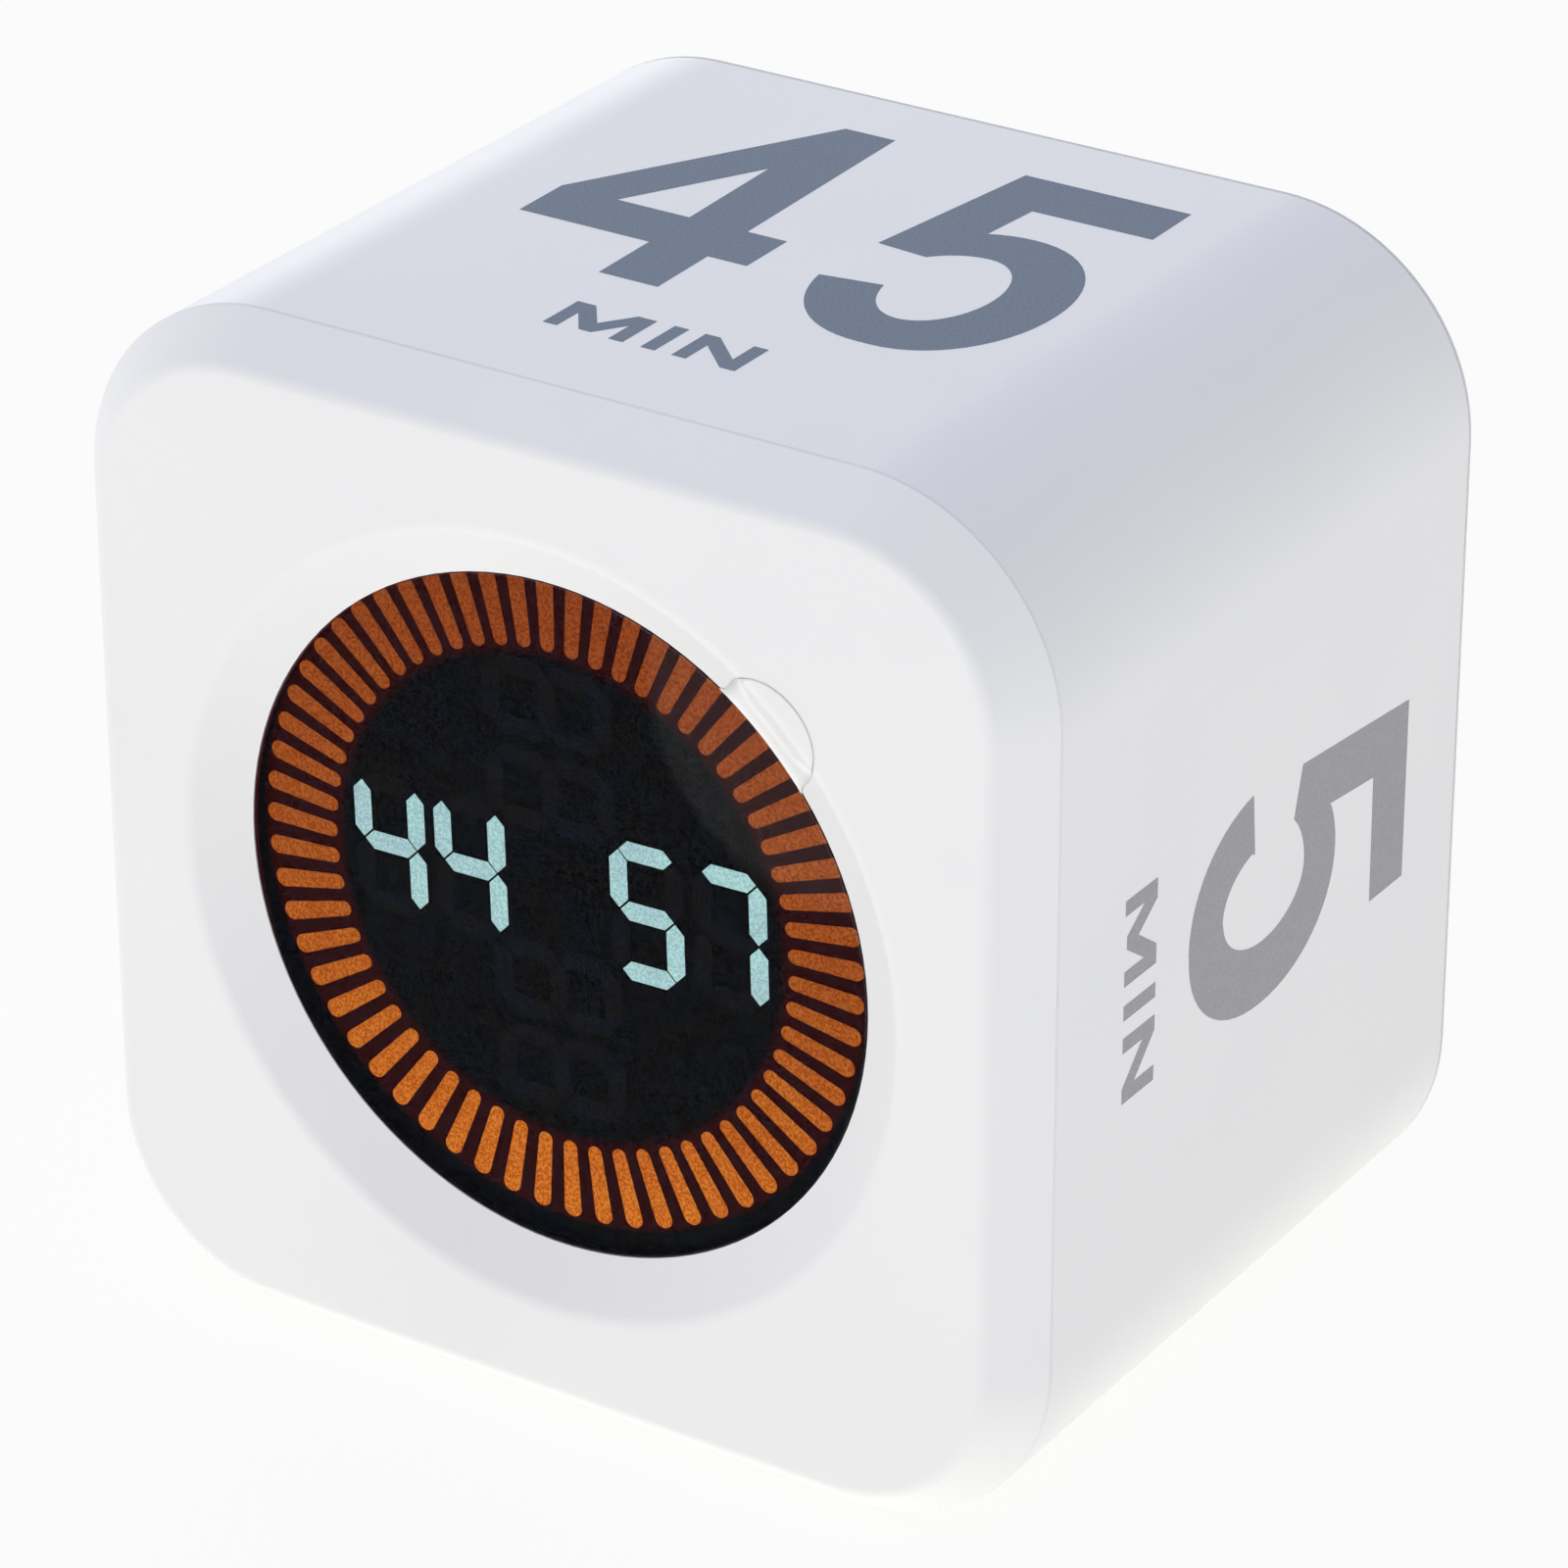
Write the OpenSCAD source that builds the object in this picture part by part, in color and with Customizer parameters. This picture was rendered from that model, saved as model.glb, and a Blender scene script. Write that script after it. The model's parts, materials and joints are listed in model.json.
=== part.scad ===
// Digital cube timer: a white moulded timer with a round backlit display.
// The display faces -Y, +X is to its right and +Z is up. The origin is at the middle of the underside.
// Depths are measured back from the front face, and flat drawings are seen from the front.

/* [Body] */
// Side of the square front
body_size = 60; // [54:0.5:72]
// Depth of the sleeve between its two seams
sleeve_d = 42.6; // [37:0.2:60]
// Radius of the four long corners
corner_r = 11.8; // [10.5:0.1:13]
// Wall of the sleeve
wall = 2; // [1.6:0.1:2.4]
// Depth of the sloping band at the front and the back
band_d = 2.9; // [2.7:0.1:4]
// How far the band draws in
band_w = 2.36; // [1.6:0.02:3]
// Radius that softens the inner edge of the band
edge_r = 1; // [0.8:0.1:2.4]
// Chamfer on the ends of the sleeve, which shows as the seam
seam_groove = 0.25; // [0.1:0.05:0.5]
// Wall behind the front face
front_wall = 2.2; // [2:0.1:2.6]
// Wall of the rear face
rear_wall = 2; // [1.6:0.1:2.6]
// Length of the skirts that enter the sleeve
skirt_l = 4.1; // [3:0.1:6]
// Wall of the skirts
skirt_t = 1.2; // [0.8:0.1:1.4]
// Gap between pieces that fit into each other
fit_gap = 0.15; // [0.05:0.01:0.2]
// Length of the snap beads on the front skirt
bead_l = 10; // [6:1:16]
// Thickness of the snap beads along the depth
bead_t = 1.2; // [0.8:0.1:1.6]
// How far the beads stand out of the skirt
bead_h = 0.45; // [0.3:0.05:0.6]

/* [Display opening] */
// Distance from the sides to the conical dish
dish_margin = 7.5; // [6.8:0.1:9]
// Width of the dish's slope
dish_w = 3; // [2.4:0.1:4]
// Depth of the dish
dish_d = 1.9; // [1.2:0.1:2.2]
// Radius that softens the outer edge of the dish
dish_edge_r = 1.5; // [0.5:0.1:3]
// Thickness of the lip that the window seats behind
lip_t = 0.3; // [0.2:0.05:0.5]
// How far the window's flange reaches past the opening
flange_w = 0.9; // [0.6:0.1:1.2]
// Thickness of the window's flange
flange_t = 0.4; // [0.3:0.05:0.8]
// Width of the boss round the window pocket
boss_w = 2.4; // [1.6:0.1:3]
// Thickness of the foam ring behind the boss
gasket_t = 0.2; // [0.1:0.05:0.4]
// Width of the foam ring
gasket_w = 0.7; // [0.4:0.1:0.9]
// Thickness of the protective film
film_t = 0.1; // [0.05:0.05:0.2]
// Width of the film's pull tab
tab_w = 6.3; // [4:0.1:9]
// How far the pull tab reaches past the display opening
tab_reach = 4.4; // [4:0.1:6]
// Angle of the pull tab above the horizontal
tab_angle = 47; // [0:1:360]

/* [Display cell] */
// How far the glass reaches past the display opening
glass_margin = 1.7; // [1.6:0.1:2]
// Thickness of the front glass
front_glass_t = 0.3; // [0.2:0.05:0.6]
// Thickness of the rear glass
rear_glass_t = 0.4; // [0.2:0.05:0.6]
// Gap between the two glasses, which holds the segments
cell_gap = 0.06; // [0.04:0.01:0.1]
// Width of the seal round the cell
seal_w = 0.3; // [0.2:0.05:0.3]
// Bare ledge of the front glass that the contact strips touch
ledge_w = 1.3; // [1.2:0.05:1.35]
// Sideways place of the segments in the opening
art_x = -0.45; // [-0.6:0.05:0.6]
// Height of the segments in the opening
art_z = 0.5; // [-0.5:0.05:0.5]
// Turn of the segments in the opening
art_turn = 1.5; // [-3:0.1:3]

/* [Display segments] */
// Number of bars in the ring
bar_count = 60; // [48:12:72]
// Gap between the bars and the edge of the opening
bar_margin = 0.7; // [0.6:0.05:1.5]
// Length of a bar
bar_l = 4.4; // [3:0.1:5]
// Share of the ring that the bars fill
bar_fill = 0.56; // [0.3:0.01:0.75]
// How far the bars beside the ring lean towards its top, as an angle
bar_crowding = 2; // [0:0.1:3]
// Digits shown
readout = [4, 4, 5, 7];
// Width of a digit between the middles of its strokes, as a share of the ring's inner radius
digit_share = 0.24; // [0.18:0.005:0.25]
// Height of a digit for a width of 1
digit_aspect = 2.03; // [1.6:0.01:2.1]
// Width of a stroke for a digit's width of 1
stroke_share = 0.3125; // [0.2:0.0025:0.33]
// Gap between neighbouring strokes
stroke_gap = 0.16; // [0.1:0.02:0.3]
// Distance between the two digits of a pair for a digit's width of 1
pitch_share = 1.505; // [1.45:0.005:1.55]
// Distance of each pair from the middle, as a share of the ring's inner radius
pair_share = 0.57; // [0.52:0.005:0.58]
// Height of the row of digits above the middle of the ring
digit_rise = 0.55; // [-1:0.05:1]

/* [Backlight and tray] */
// Thickness of the printed colour film
colour_film_t = 0.1; // [0.05:0.05:0.2]
// Thickness of the diffuser sheet
diffuser_t = 0.25; // [0.1:0.05:0.5]
// Thickness of the light guide
guide_t = 2; // [1.6:0.1:3]
// Thickness of the reflector sheet
reflector_t = 0.15; // [0.1:0.05:0.3]
// Wall of the display tray
tray_wall = 0.9; // [0.7:0.1:1]
// Floor of the display tray
tray_floor = 1; // [0.8:0.1:1.6]
// Width of a contact strip
strip_w = 0.9; // [0.7:0.05:1]
// Distance from the side of the glass to the end of a contact strip
strip_margin = 4.2; // [3:0.1:8]
// Length of a backlight lamp
lamp_l = 3; // [2:0.5:4]
// Thickness of a backlight lamp
lamp_t = 0.9; // [0.6:0.1:1]
// Distance of the lamps from the middle
lamp_z = 8; // [5:0.5:12]

/* [Boards and screws] */
// Thickness of the circuit boards
board_t = 1.2; // [0.8:0.1:1.6]
// Gap between the main board and the sleeve
board_gap = 1.2; // [0.8:0.1:1.6]
// Radius of the posts that take the board screws
post_r = 1.6; // [1.4:0.1:1.7]
// Radius of a board screw
screw_r = 0.75; // [0.6:0.05:0.8]
// Radius of a board screw's head
screw_head_r = 1.5; // [1.2:0.1:1.6]
// Height of a board screw's head
screw_head_h = 1.1; // [0.8:0.1:1.4]
// Play round a screw in its hole
screw_play = 0.1; // [0.05:0.01:0.12]
// Distance from the body's side to the rear board
rear_board_margin = 7; // [6.5:0.1:8]
// Gap between the rear board and the bosses of the cover screws
rear_board_gap = 1.5; // [1:0.1:2]
// Length of the posts behind the rear board
rear_post_l = 5; // [4.8:0.1:6]
// Distance from the rear board's side to its posts
rear_post_inset = 2.8; // [2.2:0.1:3]
// Distance from the rear board's top and bottom to its posts
rear_post_drop = 3.5; // [3:0.1:4]
// Radius of a rear cover screw
cover_screw_r = 1; // [0.8:0.05:1.1]
// Length of a rear cover screw
cover_screw_l = 10; // [8:0.5:11]
// Radius of a rear cover screw's head
cover_head_r = 1.9; // [1.6:0.1:2]
// Height of a rear cover screw's head
cover_head_h = 0.8; // [0.6:0.1:1]
// Radius of the bosses that take the rear cover screws
cover_boss_r = 2.5; // [2.2:0.1:2.7]
// Distance of the rear cover screws from the outer sides
cover_screw_inset = 9.5; // [9.3:0.1:10]
// Length of the bosses in the sleeve
cover_boss_l = 12; // [12:0.5:16]

/* [Board parts] */
// Side of the controller chip's body
chip_size = 7; // [5:0.5:9]
// Height of the controller chip
chip_h = 1; // [0.8:0.1:1.6]
// Leads along each side of the controller chip
chip_leads = 8; // [4:1:10]
// Width of a chip's lead
lead_w = 0.3; // [0.2:0.05:0.4]
// Length of a chip's lead outside its body
lead_l = 0.9; // [0.5:0.1:1.2]
// Thickness of a chip's lead
lead_t = 0.2; // [0.1:0.05:0.3]
// Side of the tilt sensor
tilt_size = 3; // [2:0.5:4]
// Height of the tilt sensor
tilt_h = 0.9; // [0.7:0.1:1.2]
// Length of the clock crystal
crystal_l = 3.2; // [2:0.1:5]
// Width of the clock crystal
crystal_w = 1.5; // [1.2:0.1:2.5]
// Height of the clock crystal
crystal_h = 0.8; // [0.5:0.1:1]
// Radius of the vibration motor
motor_r = 5; // [4:0.5:6]
// Height of the vibration motor
motor_h = 2.7; // [2:0.1:3.4]
// Distance of the vibration motor from the main board's side
motor_inset = 12.8; // [8:0.2:14]
// Side of the charger chip's body
charger_size = 3; // [2:0.5:4]
// Height of the charger chip
charger_h = 1.2; // [0.8:0.1:1.6]
// Leads along each side of the charger chip
charger_leads = 3; // [2:1:4]

/* [Rear controls] */
// Depth of the control panel below the rear face
panel_d = 0.8; // [0.4:0.1:1]
// How far the control panel stays inside the rear board's outline
panel_inset = 0.5; // [0.3:0.1:2]
// Corner radius of the control panel
panel_r = 5; // [3:0.5:8]
// Radius of a button, as a share of the rear board's height
button_share = 0.121; // [0.09:0.001:0.125]
// Play round a button
button_play = 0.25; // [0.15:0.05:0.3]
// Travel of a button
button_travel = 0.35; // [0.2:0.05:0.4]
// How far a button stands out of the panel
button_proud = 0.6; // [0.4:0.1:0.7]
// Bevel round the top of a button
button_bevel = 0.3; // [0.1:0.1:0.3]
// How far a button's flange reaches past its hole
button_flange = 0.6; // [0.4:0.1:0.8]
// Thickness of a button's flange
button_flange_t = 0.7; // [0.5:0.1:0.8]
// Distance between buttons, as a share of the rear board's width
button_pitch_share = 0.293; // [0.28:0.001:0.3]
// Height of the row of buttons below the middle, as a share of the rear board's height
button_drop_share = 0.06; // [0.05:0.005:0.07]
// Side of a push switch
tact_size = 6; // [5:0.1:6.4]
// Height of a push switch
tact_h = 3; // [2.6:0.1:3.2]
// Radius of a push switch's plunger
plunger_r = 1.6; // [1.2:0.1:1.8]
// Height of the plunger above the push switch
plunger_proud = 0.8; // [0.6:0.1:0.9]
// Floor of a push switch under its plunger
tact_floor = 0.9; // [0.6:0.1:1]
// Travel of the mode knob to each side
knob_travel = 1.5; // [1:0.1:1.6]
// Width of the mode knob
knob_w = 3.4; // [2.8:0.1:3.8]
// Height of the mode knob
knob_h = 2.4; // [2.2:0.1:2.8]
// How far the mode knob stands out of the panel
knob_proud = 0.5; // [0.3:0.1:0.7]
// Distance of the mode knob and the port from the middle, as a share of the rear board's width
control_share = 0.205; // [0.2:0.001:0.21]
// Distance of the mode knob and the port from the rear board's lower edge
control_rise = 4.5; // [4.2:0.1:4.8]
// Width of the port's shell
port_w = 8.94; // [8.9:0.02:9]
// Height of the port's shell
port_h = 3.26; // [3.2:0.02:3.3]
// Wall of the port's shell
port_wall = 0.3; // [0.2:0.05:0.35]
// Height of the sound holes from the middle, as a share of the rear board's height
buzzer_rise_share = 0.29; // [0.28:0.005:0.3]
// Radius of the buzzer, as a share of the rear board's height
buzzer_share = 0.165; // [0.12:0.005:0.17]
// Radius of a sound hole
sound_hole_r = 0.7; // [0.4:0.05:0.9]
// Radius of the ring of sound holes
sound_ring_r = 2.8; // [2.2:0.1:3.6]
// Number of sound holes in the ring
sound_holes = 6; // [3:1:8]

/* [Battery and wiring] */
// Gap between the battery and the bosses of the cover screws
battery_side_gap = 1; // [0.5:0.1:6]
// Gap between the battery and the rear skirt
battery_end_gap = 4.2; // [4:0.1:10]
// Thickness of the battery
battery_t = 5; // [4:0.1:6]
// Distance from the main board to the battery
battery_gap = 5; // [4.5:0.5:6]
// Thickness of the adhesive pad under the battery
pad_t = 0.5; // [0.3:0.1:1]
// Radius of a battery wire
wire_r = 0.5; // [0.3:0.05:0.6]
// Distance between the two battery wires
wire_pitch = 2; // [1.5:0.1:2.5]
// Radius of the bend in the battery wires
wire_bend_r = 1.6; // [1.2:0.1:2]
// Width of the ribbon cable
ribbon_w = 8; // [6:0.5:10]
// Thickness of the ribbon cable
ribbon_t = 0.3; // [0.2:0.05:0.4]
// How far the ribbon cable sags between its sockets
ribbon_sag = 3; // [0.5:0.5:6]

/* [Hidden] */
$fn = 96;

// Overrun that lets a cut pass clean through a face
cut = 0.1;
// Steps of an arc that is drawn as an outline
arc_steps = 6;
corner_signs = [[1, 1], [-1, 1], [-1, -1], [1, -1]];
// How far joined shapes run into each other
bite = 0.2;

// Housing
body_d = sleeve_d + 2 * band_d;
mid_z = body_size / 2;
rear_seam = body_d - band_d;
inner_side = body_size - 2 * wall;
inner_r = corner_r - wall;
skirt_side = inner_side - 2 * fit_gap;
skirt_r = inner_r - fit_gap;
hollow_side = skirt_side - 2 * skirt_t;
hollow_r = skirt_r - skirt_t;
front_skirt_end = band_d + skirt_l;
rear_skirt_end = rear_seam - skirt_l;
bead_depth = front_skirt_end - 2 * bead_t;
band_angle = atan2(band_w, band_d);
edge_inset = band_w + edge_r * tan((90 - band_angle) / 2);
band_edge = concat(
    [[0, 0]],
    [
        for (step = [0 : arc_steps])
            let (a = band_angle + (90 - band_angle) * step / arc_steps)
                [edge_inset - edge_r * cos(a), band_d - edge_r + edge_r * sin(a)]
    ]
);
sleeve_edge = [[seam_groove, 0], [0, seam_groove], [0, sleeve_d - seam_groove], [seam_groove, sleeve_d]];

// Dish and display opening
dish_r = body_size / 2 - dish_margin;
window_r = dish_r - dish_w;
dish_slope = atan2(dish_d, dish_w);
dish_soft_r = dish_r + dish_edge_r * tan(dish_slope / 2);
dish_edge = [
    for (step = [0 : arc_steps])
        let (a = dish_slope * step / arc_steps)
            [dish_soft_r - dish_edge_r * sin(a), dish_edge_r * (1 - cos(a))]
];

// Depths of the display's layers
lip_end = dish_d + lip_t;
flange_end = lip_end + flange_t;
glass_start = flange_end + gasket_t;
cell_start = glass_start + front_glass_t;
rear_glass_start = cell_start + cell_gap;
colour_film_start = rear_glass_start + rear_glass_t;
diffuser_start = colour_film_start + colour_film_t;
guide_start = diffuser_start + diffuser_t;
reflector_start = guide_start + guide_t;
floor_start = reflector_start + reflector_t;
main_board_start = floor_start + tray_floor;
main_board_end = main_board_start + board_t;

// Display outlines
flange_r = window_r + flange_w;
boss_r = flange_r + boss_w;
gasket_r = flange_r + fit_gap;
glass_side = 2 * (window_r + glass_margin);
stack_h = glass_side - 2 * ledge_w;
guide_w = glass_side - 2 * (lamp_t + 2 * fit_gap);
tray_in = glass_side + 2 * fit_gap;
tray_side = tray_in + 2 * tray_wall;
tray_rim = glass_start + fit_gap;
strip_z = (stack_h + glass_side) / 4;
strip_l = glass_side - 2 * strip_margin;
lamp_x = guide_w / 2 + fit_gap + lamp_t / 2;
lamp_start = guide_start + fit_gap;
tab_root = window_r - 2 * flange_w;
tab_bend = tab_root + flange_w;
tab_crest = dish_r - fit_gap;
film_r = window_r - 2 * fit_gap;

// Display segments
bar_out = window_r - bar_margin;
bar_in = bar_out - bar_l;
bar_pitch = 2 * PI / bar_count;
bar_w_in = bar_fill * bar_pitch * bar_in;
bar_w_out = bar_fill * bar_pitch * bar_out;
digit_w = digit_share * bar_in;
digit_h = digit_aspect * digit_w;
stroke_w = stroke_share * digit_w;
digit_pitch = pitch_share * digit_w;
pair_x = pair_share * bar_in;
// Strokes lit for each number, lettered from the top round to the left, with g in the middle
lit_strokes = [
    "abcdef", "bc", "abged", "abgcd", "fgbc", "afgcd", "afgecd", "abc", "abcdefg", "abcdfg"
];

// Posts round the display tray, one at the middle of each side
post_at = tray_side / 2 + fit_gap + post_r;
screw_hole_r = screw_r + screw_play;
pilot_l = floor_start - front_wall - 2 * fit_gap;
post_places = [[post_at, 0], [0, post_at], [-post_at, 0], [0, -post_at]];
board_side = inner_side - 2 * board_gap;

// Rear levels
panel_face = body_d - panel_d;
rear_inside = body_d - rear_wall;
rear_board_end = rear_inside - rear_post_l;
rear_board_start = rear_board_end - board_t;
cover_at = body_size / 2 - cover_screw_inset;
cover_hole_r = cover_screw_r + screw_play;
cover_seat = body_d - cover_head_h - 2 * fit_gap;
cover_standoff = 1;
// Shares of a screw head's radius: its flat top, and the width and length of its cross
head_top_share = 0.75;
drive_w_share = 0.3;
drive_l_share = 1.3;
cover_boss_end = rear_inside - cover_standoff;
cover_boss_start = cover_boss_end - cover_boss_l;
corner_centre = body_size / 2 - corner_r;
cover_places = cover_at * corner_signs;
web_t = 1.2;
web_l = inner_r - norm([cover_at - corner_centre, cover_at - corner_centre]) + bite;
rear_board_w = body_size - 2 * rear_board_margin;
rear_board_h = 2 * (cover_at - cover_boss_r - rear_board_gap);
rear_post_x = rear_board_w / 2 - rear_post_inset;
rear_post_z = rear_board_h / 2 - rear_post_drop;
rear_post_places = [for (s = corner_signs) [s[0] * rear_post_x, s[1] * rear_post_z]];
panel_w = rear_board_w - 2 * panel_inset;
panel_h = rear_board_h - 2 * panel_inset;
control_x = control_share * rear_board_w;
port_x = -control_x;
knob_x = control_x;
port_z = control_rise - rear_board_h / 2;
buzzer_z = buzzer_rise_share * rear_board_h;
buzzer_r = buzzer_share * rear_board_h;

// Buttons and their push switches
button_r = button_share * rear_board_h;
button_pitch = button_pitch_share * rear_board_w;
button_z = -button_drop_share * rear_board_h;
button_hole_r = button_r + button_play;
button_flange_r = button_hole_r + button_flange;
button_flange_end = rear_inside - fit_gap;
button_flange_start = button_flange_end - button_flange_t;
button_top = panel_face + button_proud;
tact_top = rear_board_end + tact_h;
plunger_top = tact_top + plunger_proud;
well_floor = rear_board_end + tact_floor;
well_r = plunger_r + button_play;
plunger_start = well_floor + button_travel + button_play;

// Mode switch, in layers from the rear board to the knob
switch_wall = 0.7;
switch_play = 0.25;
lever_w = 1.6;
lever_h = 1.2;
lever_foot_w = 3;
lever_foot_h = 2.2;
lever_foot_t = 0.8;
switch_floor = rear_board_end + switch_wall;
lever_start = switch_floor + switch_play;
switch_roof = lever_start + lever_foot_t + switch_play;
switch_top = switch_roof + switch_wall;
switch_in_w = lever_foot_w + 2 * knob_travel + 2 * switch_play;
switch_in_h = lever_foot_h + 2 * switch_play;
lever_slot_w = lever_w + 2 * knob_travel + 2 * switch_play;
knob_slot_w = knob_w + 2 * knob_travel + 2 * switch_play;
knob_slot_h = knob_h + 2 * switch_play;
knob_plate_t = 0.6;
knob_plate_end = rear_inside - switch_play;
knob_plate_start = knob_plate_end - knob_plate_t;
knob_plate_w = knob_slot_w + 2 * knob_travel + 2 * switch_play;
knob_plate_h = knob_slot_h + 4 * switch_play;
knob_top = panel_face + knob_proud;
knob_ribs = 3;
knob_rib_d = 0.25;
lever_end = panel_face - knob_plate_t;

// Port
port_floor = rear_board_end + 2 * port_wall;
port_mouth = panel_face - 2 * fit_gap;
port_r = port_h / 2 - port_wall / 4;
tongue_w = 6.7;
tongue_h = 0.7;
tongue_end = port_mouth - 2 * port_wall;

// Places of the parts on the boards
chip_x = 10;
chip_z = 1;
tilt_x = -8;
tilt_z = 4;
crystal_x = chip_x + chip_size / 2 + lead_l + crystal_w;
motor_x = motor_inset - board_side / 2;
motor_z = -11;
charger_x = -10;
charger_z = -4;

// Battery, wires and ribbon
battery_start = main_board_end + battery_gap;
battery_l = rear_skirt_end - battery_end_gap - battery_start;
battery_w = 2 * (cover_at - cover_boss_r - battery_side_gap);
battery_low = wall + pad_t;
battery_round = battery_t * 0.4;
rib_t = 1.2;
rib_h = pad_t + battery_t / 2;
socket_w = 6;
socket_h = 5;
socket_d = 3.4;
socket_x = 9;
socket_z = -11;
wire_depth = main_board_end + socket_d / 2;
wire_z = battery_low + battery_t / 2 - mid_z;
ribbon_z = 10;
ribbon_socket_side = 1;
ribbon_socket_w = ribbon_w + 2 * ribbon_socket_side;
ribbon_socket_h = 4;
ribbon_socket_d = 2.5;
ribbon_seat = 1.5;
ribbon_start = main_board_end + ribbon_socket_d - ribbon_seat;
ribbon_end = rear_board_start - ribbon_socket_d + ribbon_seat;
ribbon_lead = 3;
ribbon_span = ribbon_end - ribbon_start - 2 * ribbon_lead;
ribbon_steps = 24;

white = [0.94, 0.94, 0.95];
board_green = [0.1, 0.36, 0.2];
steel = [0.75, 0.76, 0.78];
clear = [0.85, 0.92, 0.96, 0.35];
dark = [0.08, 0.08, 0.09];

// Place of a depth on the Y axis
function depth_y(t) = t - body_d / 2;

// Solid between two depths, drawn flat as seen from the front
module slab(t0, t1) {
    translate([0, depth_y(t1), mid_z])
        rotate([90, 0, 0])
            linear_extrude(t1 - t0)
                children();
}

// Solid turned about the display's axis, from [radius, depth] points
module revolve(points) {
    translate([0, depth_y(0), mid_z])
        rotate([90, 0, 0])
            rotate_extrude()
                polygon([for (p = points) [p[0], -p[1]]]);
}

// Children at places that are drawn as seen from the front
module at(places) {
    for (p = places)
        translate(p)
            children();
}

// Solids at the same places
module stand_at(places) {
    for (p = places)
        translate([p[0], 0, p[1]])
            children();
}

// Pan-head screw about the display's axis, from the depths of its tip, its seat and its top
module screw(tip, seat, top, r, head_r) {
    revolve([
        [0, tip], [r, tip], [r, seat], [head_r, seat],
        [head_r, (seat + top) / 2], [head_r * head_top_share, top], [0, top]
    ]);
}

module rounded_rect(w, h, r) {
    square([w, h - 2 * r], center = true);
    square([w - 2 * r, h], center = true);
    for (quarter = [0 : 3])
        translate([corner_signs[quarter][0] * (w / 2 - r), corner_signs[quarter][1] * (h / 2 - r)])
            rotate(90 * quarter)
                intersection() {
                    circle(r);
                    square(r);
                }
}

module rounded_square(side, r) {
    rounded_rect(side, side, r);
}

// Rounded-square block whose side walls follow an edge of [inset, height] points, lowest first
module edge_block(side, r, edge) {
    flat = side / 2 - r;
    low = edge[0][1];
    high = edge[len(edge) - 1][1];
    profile = concat([[0, low]], [for (p = edge) [r - p[0], p[1]]], [[0, high]]);
    translate([-flat, -flat, low])
        cube([2 * flat, 2 * flat, high - low]);
    for (quarter = [0 : 3])
        rotate(90 * quarter)
            translate([flat, flat]) {
                rotate_extrude(angle = 90)
                    polygon(profile);
                rotate([90, 0, 0])
                    linear_extrude(2 * flat)
                        polygon(profile);
            }
}

// Children at the middle of each side of the display tray
module at_posts() {
    for (side = [0 : 3])
        rotate(90 * side)
            translate([post_at, 0])
                children();
}

// Housing

module front_bezel() {
    color(white)
        difference() {
            union() {
                difference() {
                    union() {
                        translate([0, depth_y(band_d), mid_z])
                            rotate([90, 0, 0])
                                edge_block(body_size, corner_r, band_edge);
                        slab(front_wall, front_skirt_end)
                            rounded_square(skirt_side, skirt_r);
                    }
                    slab(front_wall, front_skirt_end + cut)
                        rounded_square(hollow_side, hollow_r);
                }
                slab(front_wall - bite, flange_end)
                    circle(boss_r);
                slab(front_wall - bite, floor_start)
                    at_posts()
                        circle(post_r);
                slab(bead_depth, bead_depth + bead_t)
                    for (side = [0 : 3])
                        rotate(90 * side)
                            translate([skirt_side / 2 - skirt_t / 2, -bead_l / 2])
                                square([skirt_t / 2 + bead_h, bead_l]);
            }
            revolve(concat(
                [[0, -cut], [dish_soft_r, -cut]],
                dish_edge,
                [
                    [window_r, dish_d],
                    [window_r, lip_end],
                    [flange_r + fit_gap / 2, lip_end],
                    [flange_r + fit_gap / 2, flange_end + cut],
                    [0, flange_end + cut]
                ]
            ));
            slab(floor_start - pilot_l, floor_start + cut)
                at_posts()
                    circle(screw_hole_r);
        }
}

module sleeve() {
    color(white)
        difference() {
            union() {
                difference() {
                    translate([0, depth_y(rear_seam), mid_z])
                        rotate([90, 0, 0])
                            edge_block(body_size, corner_r, sleeve_edge);
                    slab(band_d - cut, rear_seam + cut)
                        rounded_square(inner_side, inner_r);
                }
                slab(cover_boss_start, cover_boss_end)
                    at(cover_places)
                        circle(cover_boss_r);
                slab(cover_boss_start, rear_skirt_end - fit_gap)
                    for (quarter = [0 : 3])
                        rotate(90 * quarter)
                            translate([cover_at, cover_at])
                                rotate(45)
                                    translate([0, -web_t / 2])
                                        square([web_l, web_t]);
                for (side = [-1, 1])
                    translate([
                        side * (battery_w / 2 + fit_gap + rib_t / 2) - rib_t / 2,
                        depth_y(battery_start),
                        wall / 2
                    ])
                        cube([rib_t, battery_l, wall / 2 + rib_h]);
            }
            slab(cover_boss_end - cover_screw_l, cover_boss_end + cut)
                at(cover_places)
                    circle(cover_hole_r);
            slab(bead_depth - fit_gap, bead_depth + bead_t + fit_gap)
                for (side = [0 : 3])
                    rotate(90 * side)
                        translate([inner_side / 2 - cut, -bead_l / 2 - fit_gap])
                            square([cut + bead_h, bead_l + 2 * fit_gap]);
        }
}

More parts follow.
